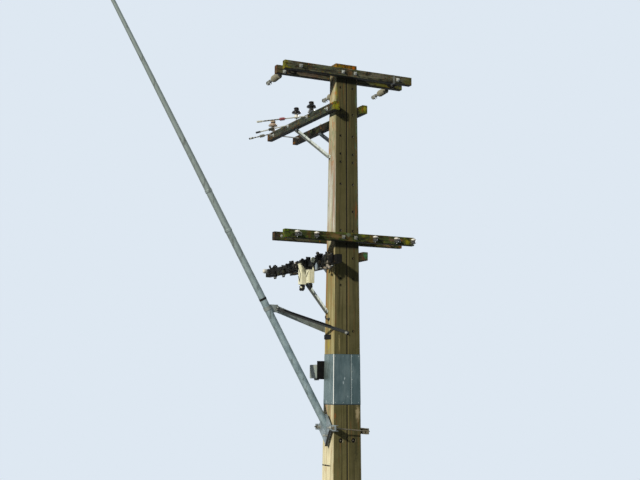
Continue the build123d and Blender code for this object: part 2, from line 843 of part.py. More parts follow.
# Fuse boxes on the left face of the left service arm, each with a strap up to the arm
service_outer = side_arm_seat(service_arm_height) + arm_thickness + seat_gap
fuse_box_low = service_arm_height - fuse_box_drop
boxes = []
for y, height in zip(fuse_box_places, fuse_box_heights):
    body = block(
        (-service_outer - fuse_box_depth, y, fuse_box_low),
        (-service_outer, y + fuse_box_width, fuse_box_low + height),
    )
    body = fillet(body.edges().filter_by(Axis.Z), fuse_box_edge)
    strap_low = fuse_box_low + height - fuse_box_strap
    body += block(
        (-service_outer - box_plate_thickness, y + (fuse_box_width - fuse_box_strap) / 2, strap_low),
        (-service_outer, y + (fuse_box_width + fuse_box_strap) / 2, service_arm_height + fuse_box_strap),
    )
    boxes.append(body)
save("fuse_boxes", Compound(boxes))


# Fuse holders in a row: a base, a raised carrier and two cable glands below
def fuse_holder(high):
    """A holder with its back on the plane x = 0, facing -X, and its top at the height high."""
    base = block((-fuse_base_depth, 0, -fuse_base_low), (0, fuse_base_width, high))
    base = fillet(base.edges().filter_by(Axis.Z), fuse_edge)
    side_margin = (fuse_base_width - fuse_carrier_width) / 2
    carrier = block(
        (-fuse_base_depth - fuse_carrier_depth, side_margin, fuse_carrier_margin - fuse_base_low),
        (-fuse_base_depth / 2, fuse_base_width - side_margin, high - fuse_carrier_margin),
    )
    holder = base + chamfer(carrier.faces().sort_by(Axis.X)[0].edges(), fuse_edge)
    for spread in (-fuse_gland_spread, fuse_gland_spread):
        gland_place = Pos(-fuse_base_depth / 2, fuse_base_width / 2 + spread, -fuse_base_low - fuse_gland_length)
        holder += gland_place * Cylinder(fuse_gland_radius, fuse_gland_length, align=upward)
    return holder


holders = []
for y, high in zip(fuse_holder_places, fuse_holder_highs):
    holders.append(Pos(-service_outer, y, service_arm_height) * fuse_holder(high))
save("fuse_holders", Compound(holders))

# Fixings on the left pole's outer face: a thin earthing strip and a moulded saddle
strip_face = pole_width(strip_height) + seat_gap
strip_end = half_depth(strip_height) - arris
strip = block(
    (-strip_face - strip_thickness, strip_front_inset - strip_end, strip_height),
    (-strip_face, strip_end, strip_height + strip_width),
)
saddle_face = pole_width(saddle_low) + seat_gap
saddle_end = half_depth(saddle_low) - arris
saddle = block(
    (-saddle_face - saddle_thickness, saddle_end - saddle_length, saddle_low),
    (-saddle_face, saddle_end, saddle_low + saddle_height),
)
save("pole_straps", Compound([strip, saddle]))
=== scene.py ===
# %% [markdown]
# A twin concrete line pole, dressed in Blender
#
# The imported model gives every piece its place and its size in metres. This notebook leaves those
# solids where they are, gives each one a finish, and adds the small things that show from the
# street: nuts, hooks, nails, seams, tie wires and lichen.

# %% Load the frame
import math
import random
import bmesh
import bpy
from mathutils import Matrix, Vector


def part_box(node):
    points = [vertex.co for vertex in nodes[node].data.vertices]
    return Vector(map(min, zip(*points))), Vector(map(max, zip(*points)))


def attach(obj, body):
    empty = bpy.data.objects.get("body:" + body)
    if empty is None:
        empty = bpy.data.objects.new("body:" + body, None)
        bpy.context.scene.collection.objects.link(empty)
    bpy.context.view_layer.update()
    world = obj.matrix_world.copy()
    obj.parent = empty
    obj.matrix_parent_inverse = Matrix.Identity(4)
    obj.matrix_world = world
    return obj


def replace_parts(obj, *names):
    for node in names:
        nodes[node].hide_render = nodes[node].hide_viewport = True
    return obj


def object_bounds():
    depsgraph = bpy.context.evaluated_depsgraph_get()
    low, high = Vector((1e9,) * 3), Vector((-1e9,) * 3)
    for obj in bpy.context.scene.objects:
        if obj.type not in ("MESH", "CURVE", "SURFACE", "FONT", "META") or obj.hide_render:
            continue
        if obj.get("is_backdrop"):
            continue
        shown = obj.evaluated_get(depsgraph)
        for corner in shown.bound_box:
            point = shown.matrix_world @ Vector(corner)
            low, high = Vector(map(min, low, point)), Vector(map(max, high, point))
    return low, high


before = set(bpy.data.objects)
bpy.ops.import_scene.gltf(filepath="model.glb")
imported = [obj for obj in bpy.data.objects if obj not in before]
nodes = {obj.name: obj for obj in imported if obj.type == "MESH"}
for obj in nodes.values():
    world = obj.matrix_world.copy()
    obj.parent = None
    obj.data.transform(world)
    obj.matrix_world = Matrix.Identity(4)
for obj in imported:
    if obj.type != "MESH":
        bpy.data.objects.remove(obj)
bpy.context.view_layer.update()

# %% [markdown]
# The camera stands well above the street, about 18 m to the front left of the pole, and looks up a
# little. Its place and lens come from a fit to the pole's edges, the ends of the crossarms and the
# rows of bolt holes. A lens shift would also straighten the uprights, but the photograph's own
# uprights lean a little, so the camera is simply pitched up.

# %% Camera
FRAME_WIDTH = 640
FOCAL_PIXELS = 1108.8
SENSOR_MM = 36.0
EYE = Vector((-8.3785, -16.3417, 5.1))
VIEW_YAW = math.radians(25.96)
VIEW_PITCH = math.radians(7.441)
VIEW_ROLL = math.radians(0.41)

camera_data = bpy.data.cameras.new("street_camera")
camera_data.sensor_width = SENSOR_MM
camera_data.lens = SENSOR_MM * FOCAL_PIXELS / FRAME_WIDTH
camera = bpy.data.objects.new("street_camera", camera_data)
bpy.context.scene.collection.objects.link(camera)
turn = Matrix.Rotation(-VIEW_YAW, 4, "Z") @ Matrix.Rotation(math.pi / 2 + VIEW_PITCH, 4, "X")
camera.matrix_world = Matrix.Translation(EYE) @ turn @ Matrix.Rotation(VIEW_ROLL, 4, "Z")
bpy.context.scene.camera = camera
print("lens:", round(camera_data.lens, 2), "mm")

# %% [markdown]
# Shader maths reads best as ordinary expressions. Wire holds one socket of a material. Its operators
# add Math nodes, so `1 - mask * 0.5` builds the nodes that it says, and its node() method adds any
# other node: its settings first, then the values or links of its sockets. Colours are written from 0
# to 255, as a painter reads them off a card, and `tint` turns them into the shader's linear light.

# %% Wires
def tint(red, green, blue):
    return tuple(((value / 255 + 0.055) / 1.055) ** 2.4 for value in (red, green, blue))


class Wire:
    """One socket of a node tree, which Python's operators can work on."""

    def __init__(self, tree, socket=None):
        self.tree = tree
        self.socket = socket

    def node(self, kind, settings=None, inputs=None, output=0):
        made = self.tree.nodes.new("ShaderNode" + kind)
        for name, value in (settings or {}).items():
            setattr(made, name, value)
        for name, value in (inputs or {}).items():
            if isinstance(value, Wire):
                self.tree.links.new(value.socket, made.inputs[name])
            elif isinstance(value, tuple) and made.inputs[name].type == "RGBA":
                made.inputs[name].default_value = (*tint(*value), 1)
            else:
                made.inputs[name].default_value = value
        return Wire(self.tree, made.outputs[output])

    def math(self, operation, first, second=0.0):
        return self.node("Math", {"operation": operation}, {0: first, 1: second})

    def __add__(self, other):
        return self.math("ADD", self, other)

    def __radd__(self, other):
        return self.math("ADD", other, self)

    def __sub__(self, other):
        return self.math("SUBTRACT", self, other)

    def __rsub__(self, other):
        return self.math("SUBTRACT", other, self)

    def __mul__(self, other):
        return self.math("MULTIPLY", self, other)

    def __rmul__(self, other):
        return self.math("MULTIPLY", other, self)

    def __pow__(self, other):
        return self.math("POWER", self, other)

    def __abs__(self):
        return self.math("ABSOLUTE", self)

# %% [markdown]
# A few words that every finish uses. `parts` splits a place into x, y and z. `smooth` is 0 below one
# value and 1 above another, with a soft step between them, which turns any number into a mask.
# `mix` blends two colours by a mask, and `layered` lays one tone after another over a colour, as a
# painter glazes.

# %% Words for masks and colours
def parts(wire):
    return [wire.node("SeparateXYZ", None, {0: wire}, axis) for axis in range(3)]


def join(x, y, z):
    wire = next(value for value in (x, y, z) if isinstance(value, Wire))
    return wire.node("CombineXYZ", None, {0: x, 1: y, 2: z})


def smooth(value, low, high):
    settings = {"interpolation_type": "SMOOTHSTEP"}
    return value.node("MapRange", settings, {"Value": value, "From Min": low, "From Max": high})


def inside(value, low, high, soft):
    """1 between two values and 0 outside them."""
    return smooth(value, low - soft, low + soft) * (1 - smooth(value, high - soft, high + soft))


def mix(mask, first, second):
    return mask.node("Mix", {"data_type": "RGBA"}, {0: mask, 6: first, 7: second}, 2)


def layered(colour, *layers):
    """Lays tones over a colour, the last one on top. A layer is a mask and a tone."""
    for mask, tone in layers:
        colour = mix(mask, colour, tone)
    return colour

# %% [markdown]
# Weather, grain and lichen all come from two patterns: `noise`, which is soft clouds, and `cells`, which
# is scattered crumbs. Stretching the place before it reaches a pattern turns clouds into drips or
# fibres. `spot` is for the few stains that sit at one known place, and `marked` lays a list of them.

# %% Words for patterns
def noise(place, scale, detail=3.0, roughness=0.55):
    return place.node(
        "TexNoise", None, {"Vector": place, "Scale": scale, "Detail": detail, "Roughness": roughness}
    )


def cells(place, scale):
    """The distance to the nearest of many scattered points."""
    return place.node("TexVoronoi", None, {"Vector": place, "Scale": scale})


def stretched(place, along_x, along_y, along_z):
    settings = {"operation": "MULTIPLY"}
    return place.node("VectorMath", settings, {0: place, 1: (along_x, along_y, along_z)})


def facing(place):
    """The direction that the surface looks in, as x, y and z."""
    return parts(place.node("NewGeometry", None, None, "Normal"))


def spot(place, where, wide, tall):
    """1 at a point and 0 beyond a ragged oval round it."""
    x, y, z = where
    squeezed = stretched(place, 1, 1, wide / tall)
    settings = {"operation": "DISTANCE"}
    away = place.node("VectorMath", settings, {0: squeezed, 1: (x, y, z * wide / tall)}, "Value")
    rough = away + (noise(place, 34, 4.0, 0.7) - 0.5) * (wide * 2.2)
    return 1 - smooth(rough, wide * 0.3, wide * 1.1)


def marked(place, colour, marks):
    """Lays single stains over a colour. A mark is a place, a width, a height, a strength and a tone."""
    for where, wide, tall, strength, stain in marks:
        colour = mix(spot(place, where, wide, tall) * strength, colour, stain)
    return colour

# %% [markdown]
# A finish is one material whose recipe is a function: it takes the place on the object and returns what
# goes into the sockets of the shader. "Relief" isn't a socket. It is a height and a depth in metres,
# which become a bump. What never varies over a piece, such as its gloss coat, is given as a constant.

# %% Finishes
finishes = {}


def finish(name, recipe, **constants):
    """Makes one material. The recipe returns what goes to each socket of the shader."""
    material = bpy.data.materials.new(name)
    material.use_nodes = True
    tree = material.node_tree
    shader = tree.nodes["Principled BSDF"]
    place = Wire(tree).node("TexCoord", None, None, "Object")
    looks = recipe(place)
    relief = looks.pop("Relief", None)
    if relief:
        height, depth = relief
        looks["Normal"] = place.node("Bump", None, {"Height": height, "Distance": depth, "Strength": 1.0})
    for name_of_socket, value in {**looks, **constants}.items():
        socket = shader.inputs[name_of_socket.replace("_", " ")]
        if isinstance(value, Wire):
            tree.links.new(value.socket, socket)
        else:
            socket.default_value = value
    finishes[name] = material
    return material


def cover(material, *covered):
    """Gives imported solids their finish."""
    for node in covered:
        for slot in nodes[node].material_slots:
            slot.material = material

# %% [markdown]
# Most of what weathers the poles has a place: runs below the bolt holes and orange and green lichen on
# the crown. Painted shadow has places too: near-black bands just under the arms. The list holds the
# single marks that the photograph shows, each with its place, width, height, strength and tone; two of
# them are painted shadows. `outer` and `front` say how far out the poles' side and front faces lie at
# a height, from the two ends of their taper.

# %% Marks and places on the poles
CONCRETE_MARKS = (
    ((0.190, -0.187, 4.640), 0.045, 0.150, 0.75, (176, 162, 128)),
    ((-0.144, -0.170, 5.790), 0.014, 0.200, 0.7, (160, 150, 104)),
    ((-0.236, -0.100, 5.974), 0.022, 0.030, 0.8, (150, 74, 26)),
    ((-0.222, -0.186, 4.600), 0.024, 0.060, 0.6, (150, 84, 34)),
    # Painted shadow: black below the top arms on the left face.
    ((-0.200, 0.050, 10.200), 0.110, 0.150, 0.92, (18, 16, 9)),
    ((-0.200, -0.110, 9.970), 0.030, 0.050, 0.7, (176, 70, 18)),
    ((-0.236, 0.020, 5.760), 0.060, 0.110, 0.6, (172, 158, 56)),
    ((0.130, -0.113, 10.440), 0.030, 0.030, 0.8, (196, 92, 8)),
    ((-0.190, -0.120, 9.980), 0.030, 0.130, 0.6, (146, 140, 56)),
    # Painted shadow: black below the left side arm on the front face.
    ((-0.080, -0.130, 9.590), 0.075, 0.060, 0.85, (16, 16, 10)),
    ((0.060, -0.150, 7.500), 0.220, 0.060, 0.5, (96, 92, 62)),
    ((-0.120, -0.113, 10.430), 0.050, 0.040, 0.8, (110, 104, 6)),
    ((0.160, -0.192, 4.180), 0.040, 0.420, 0.55, (34, 36, 16)),
)
GROOVE = 0.011
RIDGE_HIGHLIGHT_EDGE = 0.026
TOP_WIDTH = 0.200
TOP_HALF_DEPTH = 0.1125
BOLT_COLUMN = 0.115
RUN_REACH = 0.022
PAIR_HOLES = (10.075, 9.244, 8.936, 8.797, 8.422, 7.637, 6.838)
LEFT_HOLES = (9.675, 6.728)
RIGHT_HOLES = (9.620, 7.965, 7.180, 5.975)
SHADOW_BANDS = ((7.34, 7.48), (10.15, 10.30))
pole_low, pole_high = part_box("pole_left")
POLE_TOP = pole_high[2]


def outer(z):
    """The outer face of a pole at a height, which may be a number or a wire."""
    return z * ((TOP_WIDTH + pole_low[0]) / POLE_TOP) - pole_low[0]


def front(z):
    """Half of the poles' depth at a height."""
    return z * ((TOP_HALF_DEPTH - pole_high[1]) / POLE_TOP) + pole_high[1]


def nearest(z, heights):
    """How far a height is from the nearest of several."""
    gap = abs(z - heights[0])
    for height in heights[1:]:
        gap = z.math("MINIMUM", gap, abs(z - height))
    return gap

# %% [markdown]
# The poles are cast concrete that has stood for decades. Their two sides are bleached to a pale cream,
# browner between about 5 and 7.5 m, with orange and green lichen in long drips. Their front and back
# are olive grey with dark streaks that run down from the fittings. Both looks are one finish: the
# surface's own direction says which of the two it is, so the corner changes over where the arris is.

# %% Concrete
def concrete(place):
    x, y, z = parts(place)
    drips = noise(stretched(place, 30, 30, 0.7), 1.0, 5.0)
    fine_drips = noise(stretched(place, 95, 95, 2.2), 1.0, 3.0)
    clouds = noise(place, 2.4, 4.0)
    blots = noise(stretched(place, 9, 9, 3), 1.9, 5.0, 0.7)
    mossy = noise(stretched(place, 15, 15, 3), 1.6, 4.0)
    rusty = noise(stretched(place, 17, 17, 1.6), 1.3, 3.0)
    grit = noise(place, 140, 3.0, 0.7)
    pits = cells(place, 34)

    on_right = smooth(x, -0.001, 0.001)
    low_left = (1 - on_right) * (1 - smooth(z, 3.4, 4.3))
    weather_edge = smooth(x, 0.13, 0.19) * smooth(z, 6.5, 8.4)
    ridge_highlight_strength = 0.4 + 0.5 * (1 - smooth(z, 7.0, 7.6))
    hole_runs = inside(abs(x), BOLT_COLUMN - RUN_REACH, BOLT_COLUMN + RUN_REACH, 0.012)
    left_gap = nearest(z, PAIR_HOLES + LEFT_HOLES)
    right_gap = nearest(z, PAIR_HOLES + RIGHT_HOLES)
    gap = left_gap * (1 - on_right) + right_gap * on_right
    from_hole = ((abs(x) - BOLT_COLUMN) ** 2 + gap ** 2) ** 0.5
    sooty = layered(
        mix(smooth(clouds, 0.35, 0.66), (86, 83, 50), (106, 101, 68)),
        (smooth(z, 5.8, 8.6) * 0.45, (72, 68, 38)),
        (on_right * 0.32 + smooth(z, 8.6, 9.6) * 0.12, (58, 56, 34)),
        (low_left * 0.4, (122, 114, 72)),
        (smooth(drips, 0.5, 0.68) * 0.7, (52, 50, 24)),
        (smooth(fine_drips, 0.56, 0.76) * 0.45, (128, 120, 74)),
        (smooth(blots, 0.56, 0.7) * 0.4, (66, 66, 44)),
        (smooth(rusty, 0.6, 0.72) * (0.35 + weather_edge * 0.55), (134, 78, 36)),
        (smooth(mossy, 0.52, 0.64) * weather_edge * 0.8, (80, 106, 84)),
        # Painted highlight: a pale strip on the arris just right of the groove, as if it caught the sun.
        (inside(x, GROOVE, RIDGE_HIGHLIGHT_EDGE, 0.004) * ridge_highlight_strength, (134, 124, 78)),
        (hole_runs * smooth(drips, 0.42, 0.6) * 0.45, (46, 42, 22)),
        # Painted shade: near black in and round each bolt hole.
        ((1 - smooth(from_hole, 0.014, 0.030)) * 0.92, (12, 11, 6)),
        # Painted shadow: near-black bands on the poles just under the low and the top arms.
        *((inside(z, low, high, 0.03) * 0.78, (18, 18, 11)) for low, high in SHADOW_BANDS),
    )

    washed = 1 - smooth(z, 3.9, 4.5)
    streaky = 1 - washed * 0.7
    high_up = smooth(z, 7.4, 9.6)
    streaks = noise(stretched(place, 24, 24, 0.55), 1.0, 3.0)
    green_runs = noise(stretched(place, 31, 27, 0.4), 1.1, 3.0)
    lichen = noise(stretched(place, 13, 13, 4), 1.1, 5.0, 0.7)
    bleached = layered(
        mix(smooth(clouds, 0.3, 0.7), (214, 206, 168), (190, 186, 158)),
        (inside(z, 5.1, 7.5, 0.5) * 0.9, (138, 128, 80)),
        (inside(z, 7.6, 8.9, 0.35) * 0.8, (216, 224, 224)),
        (washed * 0.8, (240, 234, 200)),
        (high_up * 0.5, (146, 142, 116)),
        (smooth(fine_drips, 0.48, 0.7) * 0.6, (140, 130, 88)),
        (smooth(drips, 0.52, 0.64) * 0.6, (112, 98, 58)),
        (smooth(streaks, 0.53, 0.6) * 0.6 * streaky, (146, 92, 50)),
        ((1 - smooth(streaks, 0.38, 0.45)) * 0.5, (222, 212, 168)),
        (smooth(green_runs, 0.55, 0.63) * 0.6 * streaky, (96, 104, 60)),
        (smooth(mossy, 0.5, 0.62) * (0.12 + high_up * 0.6), (120, 134, 100)),
        (smooth(lichen, 0.55, 0.62) * (0.22 + high_up * 0.5), (166, 104, 48)),
        (smooth(blots, 0.60, 0.68) * (0.3 + high_up * 0.4), (104, 112, 50)),
    )

    side = smooth(abs(facing(place)[0]), 0.5, 0.86)
    crown = smooth(z, POLE_TOP - 0.008, POLE_TOP - 0.002)
    near_crown = smooth(z, POLE_TOP - 0.24, POLE_TOP - 0.06)
    crust = noise(place, 26, 5.0, 0.7)
    crusts = mix(smooth(crust, 0.44, 0.6), (58, 50, 2), (146, 98, 2))
    colour = layered(
        mix(side, sooty, bleached),
        (near_crown * smooth(crust, 0.30, 0.44) * 0.95, crusts),
        (crown * smooth(crust, 0.3, 0.45), crusts),
        # Painted shade: the groove between the two poles is near black.
        ((1 - smooth(abs(x), GROOVE, GROOVE + 0.003)) * 0.97, (11, 10, 6)),
        (smooth(grit, 0.62, 0.75) * 0.2, (190, 184, 150)),
        ((1 - smooth(pits, 0.05, 0.12)) * 0.35, (40, 37, 24)),
    )
    colour = marked(place, colour, CONCRETE_MARKS)
    # Painted shade: near black on every surface that lies sunk behind the faces, in holes, recesses and the
    # groove.
    sunk_shade = smooth(front(z) - abs(y), 0.003, 0.009) * smooth(outer(z) - abs(x), 0.02, 0.04)
    return {
        "Base Color": mix(sunk_shade * (1 - crown) * 0.97, colour, (9, 8, 6)),
        "Roughness": 0.82 + grit * 0.14,
        "Relief": (grit * 0.5 + smooth(pits, 0.04, 0.14) * 0.6 + drips * 0.25, 0.0018),
    }


cover(finish("weathered_concrete", concrete, Specular_IOR_Level=0.25), "pole_left", "pole_right")
print("concrete on the two poles, up to", round(POLE_TOP, 3))

# %% [markdown]
# No two arms have aged alike. Some are silver, some green or nearly black, and the lichen at their two
# ends differs. The nearly black look is soot, and on the left service arm, which stands in shade, it is
# painted shade as well. So each arm gets a pair of wood tones and the tones of its low and its high
# end, and then the single marks that the photograph shows on it; some of those marks are painted
# shadows.

# %% Looks of the arms
AGED = ((48, 50, 37), (116, 118, 99))
PALE_AGED = ((41, 44, 32), (108, 108, 88))
GREEN_AGED = ((34, 40, 14), (78, 90, 48))
GREY_AGED = ((28, 31, 24), (76, 84, 74))
# Nearly black wood: soot, and painted shade on the left service arm.
SOOT_AND_SHADE = ((10, 10, 8), (28, 27, 21))
YELLOW_CRUST = (124, 126, 22)
OLIVE_CRUST = (92, 98, 14)
RED_CRUST = (84, 48, 34)
RUST_CRUST = (120, 76, 28)
DARK_CRUST = (52, 52, 28)
BROWN_CRUST = (74, 64, 42)
# Near-black ends of the left service arm: painted shade with dark weathering.
SOOT_AND_SHADE_CRUST = (12, 13, 10)
MOSS_CRUST = (74, 104, 12)
PLUM_CRUST = (50, 42, 44)
ARM_LOOKS = {
    "top_arm_front": (AGED, YELLOW_CRUST, DARK_CRUST),
    "top_arm_back": (PALE_AGED, RED_CRUST, OLIVE_CRUST),
    "side_arm_left": (GREY_AGED, YELLOW_CRUST, RUST_CRUST),
    "side_arm_right": (SOOT_AND_SHADE, OLIVE_CRUST, RUST_CRUST),
    "low_arm_front": (GREEN_AGED, MOSS_CRUST, YELLOW_CRUST),
    "low_arm_back": (GREEN_AGED, PLUM_CRUST, RUST_CRUST),
    "service_arm_left": (SOOT_AND_SHADE, SOOT_AND_SHADE_CRUST, SOOT_AND_SHADE_CRUST),
    "service_arm_right": (SOOT_AND_SHADE, BROWN_CRUST, OLIVE_CRUST),
}
ARM_MARKS = {
    "side_arm_left": (
        ((-0.290, -0.190, 9.785), 0.050, 0.040, 0.8, (184, 96, 10)),
        ((-0.262, -0.272, 9.700), 0.040, 0.050, 0.7, (150, 150, 26)),
    ),
    "side_arm_right": (
        ((0.262, -0.287, 9.710), 0.040, 0.050, 0.8, (152, 148, 34)),
        ((0.212, -0.287, 9.690), 0.022, 0.050, 0.7, (140, 76, 26)),
    ),
    "service_arm_left": (
        # Painted shadow: the black front end of the left service arm.
        ((-0.281, -0.430, 7.130), 0.160, 0.160, 0.95, (8, 8, 7)),
    ),
    "service_arm_right": (
        ((0.288, -0.272, 7.222), 0.056, 0.060, 0.95, (66, 118, 76)),
        ((0.250, -0.272, 7.180), 0.030, 0.034, 0.8, (92, 56, 36)),
    ),
    "low_arm_front": (
        ((1.100, -0.252, 7.505), 0.060, 0.050, 0.8, (146, 142, 22)),
        ((0.970, -0.252, 7.530), 0.040, 0.030, 0.7, (160, 88, 24)),
        ((0.790, -0.252, 7.520), 0.060, 0.040, 0.6, (112, 84, 82)),
        ((-0.020, -0.252, 7.555), 0.060, 0.040, 0.6, (120, 136, 112)),
        ((0.260, -0.252, 7.560), 0.060, 0.030, 0.7, (112, 122, 30)),
        ((-0.260, -0.252, 7.520), 0.120, 0.050, 0.7, (124, 104, 64)),
    ),
    "low_arm_back": (
        ((0.960, 0.148, 7.500), 0.120, 0.060, 0.7, (124, 104, 78)),
        ((-0.700, 0.148, 7.480), 0.300, 0.050, 0.6, (88, 82, 70)),
    ),
    "top_arm_front": (
        ((1.130, -0.218, 10.310), 0.100, 0.080, 0.65, (88, 90, 40)),
        ((0.550, -0.218, 10.330), 0.200, 0.040, 0.6, (122, 118, 104)),
        ((-0.450, -0.218, 10.350), 0.200, 0.040, 0.5, (96, 104, 84)),
    ),
    "top_arm_back": (
        ((0.850, 0.114, 10.300), 0.300, 0.060, 0.75, (100, 100, 34)),
        ((-0.600, 0.114, 10.290), 0.300, 0.060, 0.35, (122, 100, 90)),
        ((-1.110, 0.114, 10.330), 0.110, 0.080, 0.75, (90, 88, 58)),
        # Painted shadow: black bands along the top of the back arm's front face, between the two arms.
        ((-0.900, 0.114, 10.318), 0.450, 0.016, 0.95, (9, 9, 7)),
        ((-0.300, 0.114, 10.318), 0.450, 0.016, 0.95, (9, 9, 7)),
        ((0.300, 0.114, 10.312), 0.450, 0.020, 0.95, (9, 9, 7)),
        ((0.900, 0.114, 10.316), 0.450, 0.016, 0.95, (9, 9, 7)),
    ),
}
print("looks for", len(ARM_LOOKS), "arms")

# %% [markdown]
# The crossarms are sawn hardwood gone silver grey, with long shakes along the grain, black stain below
# the bolts, and yellow and green lichen at the ends and along the top. Wood is grain first of all: a
# noise that is stretched a hundred times along the arm reads as fibres on the sides and as spots on
# the end grain, which is what sawn timber shows. Each arm gets its own copy, because its lichen has to
# know where that arm ends.

# %% Timber
LICHEN_REACH = 0.17


def long_axis(low, high):
    """0 for a box that is longer along x, and 1 for one that is longer along y."""
    return 0 if high[0] - low[0] > high[1] - low[1] else 1


def timber(axis, low, high, look, marks):
    """The finish of an arm that runs along an axis between two places."""
    (dark, pale), low_crust, high_crust = look
    centre = (low + high) / 2
    half = (high - low) / 2

    def recipe(place):
        spots = parts(place)
        along = spots[axis]
        across = spots[1 - axis]
        z = spots[2]
        looks = facing(place)
        end_grain = smooth(abs(looks[axis]), 0.6, 0.9)
        underside_shade = smooth(0 - looks[2], 0.4, 0.9)
        upper = smooth(looks[2], 0.2, 0.8)
        fibres = noise(join(along * 1.6, across * 70, z * 70), 1.0, 5.0, 0.65)
        broad = noise(join(along * 1.1, across * 12, z * 20), 1.0, 5.0)
        shakes = noise(join(along * 0.7, across * 22, z * 34 + 7), 1.0, 2.0)
        shake = (1 - smooth(abs(shakes - 0.5), 0.003, 0.012)) * smooth(broad, 0.42, 0.56)
        patches = noise(place, 6.5, 5.0, 0.66)
        rings = smooth(abs(noise(place, 38, 2.0) * 8 - 4) - 1.2, 0.0, 1.0)
        near_end = smooth(abs(along - centre), half - LICHEN_REACH, half)
        growth = near_end * 0.16 + upper * 0.12 + end_grain * 0.04
        patch = smooth(noise(place, 17, 5.0, 0.72) + growth, 0.565, 0.64)
        crusts = mix(smooth(along, centre - 0.2, centre + 0.2), low_crust, high_crust)
        crusts = mix(smooth(noise(place, 33, 3.0), 0.5, 0.62) * 0.7, crusts, (66, 72, 24))
        blots = noise(join(along * 7, across * 22, z * 22), 1.0, 4.0, 0.7)
        wood = layered(
            mix(smooth(fibres, 0.34, 0.68), dark, pale),
            (smooth(broad, 0.5, 0.66) * 0.6, (34, 30, 19)),
            (smooth(patches, 0.53, 0.62) * 0.6, (98, 72, 34)),
            ((1 - smooth(patches, 0.38, 0.46)) * 0.6, (64, 76, 36)),
            (smooth(fibres, 0.62, 0.74) * 0.3, (128, 126, 106)),
            (shake * 0.85, (10, 8, 5)),
            (end_grain * 0.8, mix(rings, (84, 74, 46), (48, 42, 26))),
            (patch * 0.85, crusts),
            (smooth(blots, 0.53, 0.59) * 0.8, (18, 16, 9)),
            ((1 - smooth(blots, 0.37, 0.43)) * 0.5, mix(upper, pale, (150, 146, 120))),
        )
        if dark != SOOT_AND_SHADE[0]:
            orange = smooth(noise(place, 36, 3.0) + near_end * 0.04 + upper * 0.04, 0.63, 0.69)
            wood = mix(orange * 0.75, wood, (150, 88, 22))
        return {
            # Painted shade: faces that look down are near black.
            "Base Color": mix(underside_shade * 0.9, marked(place, wood, marks), (8, 8, 6)),
            "Roughness": 0.8 + fibres * 0.15,
            "Relief": (fibres * 0.6 - shake * 1.2 + patch * 0.5, 0.003),
        }

    return recipe


for node, look in ARM_LOOKS.items():
    low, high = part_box(node)
    axis = long_axis(low, high)
    recipe = timber(axis, low[axis], high[axis], look, ARM_MARKS.get(node, ()))
    cover(finish("timber_" + node, recipe, Specular_IOR_Level=0.2), node)
    print("timber:", node, "xy"[axis], round(high[axis] - low[axis], 2))

# %% [markdown]
# Hot-dip galvanising weathers from bright spangle to a dull blue grey with a white bloom, and rusts
# first where threads and washers rub. The finish takes its spangle from cells and its bloom from soft
# noise. How much rust there is, how metallic it is and its two tones are what the steel pieces differ
# in, so those are arguments.

# %% Steel
DULL_PAIR = ((140, 142, 130), (66, 66, 56))
BRACE_PAIR = ((226, 234, 228), (186, 198, 194))
SECOND_STRING = (1.1, 1.3)
THIRD_STRING = (1.9, 2.1)


def steel(bright, dull, rust, metal, drift=None, shade_slant=None):
    """Weathered galvanised steel. A drift shifts the tone from one height to another, and a shade slant
    paints shade on the lower half of a bar that rises along y."""

    def recipe(place):
        y, z = parts(place)[1:]
        bloom = noise(place, 9, 4.0)
        grime = noise(stretched(place, 20, 20, 4), 1.0, 4.0)
        rust_spots = smooth(noise(place, 24, 5.0, 0.7), 0.70 - rust * 0.16, 0.76 - rust * 0.1)
        colour = mix(smooth(bloom, 0.35, 0.65), bright, dull)
        if drift:
            low, high, warm = drift
            colour = mix(smooth(z, low, high) * 0.8, colour, warm)
        colour = layered(
            colour,
            (smooth(cells(place, 190), 0.25, 0.6) * 0.08, (220, 226, 228)),
            (smooth(grime, 0.52, 0.7) * 0.55, (62, 64, 56)),
            (rust_spots * 0.9, (100, 54, 28)),
            # Painted shade: faces that look down are darker.
            (smooth(0 - facing(place)[2], 0.3, 0.9) * 0.6, (28, 28, 25)),
        )
        if shade_slant:
            start_y, start_z, rise = shade_slant
            over = (z - start_z) - (y - start_y) * rise
            colour = mix((1 - smooth(over, -0.012, 0.004)) * 0.88, colour, (22, 24, 20))
        return {
            "Base Color": colour,
            "Metallic": metal - rust_spots * metal * 0.8,
            "Roughness": 0.5 + bloom * 0.2 + rust_spots * 0.2,
            "Relief": (bloom * 0.4 + rust_spots * 0.5, 0.0008),
        }

    return recipe


tube_drift = (5.4, 8.4, (132, 142, 134))
tube_steel = finish("light_arm_steel", steel((142, 162, 166), (112, 134, 140), 0.05, 0.4, tube_drift))
bolt_steel = finish("bolt_steel", steel((190, 194, 188), (128, 130, 120), 0.5, 0.35))
brace_steel = finish("brace_steel", steel((222, 230, 226), BRACE_PAIR[1], 0.1, 0.25))
# The braces on the right get a shaded copy of the braces' steel: their dark tone is painted shade.
shaded_brace_steel = finish("shaded_brace_steel", steel((62, 74, 80), (36, 44, 50), 0.2, 0.2))
clamp_steel = finish("clamp_steel", steel((140, 154, 160), (104, 116, 120), 0.25, 0.4))
rusty_steel = finish("rusty_steel", steel((104, 96, 72), (62, 54, 38), 0.7, 0.2))
dull_steel = finish("dull_steel", steel(*DULL_PAIR, 0.45, 0.3))
pale_steel = finish("pale_steel", steel((134, 144, 140), (116, 126, 120), 0.05, 0.3))
shaded_steel = finish("tie_steel", steel((26, 27, 25), (14, 14, 13), 0.15, 0.1), Specular_IOR_Level=0.2)
cover(tube_steel, "light_arm_lower", "light_arm_middle", "light_arm_upper", "light_arm_head")
cover(bolt_steel, "top_arm_bolts", "side_arm_bolts", "service_arm_bolts", "insulator_pins")
cover(shaded_brace_steel, "side_brace_right", "service_brace_right")
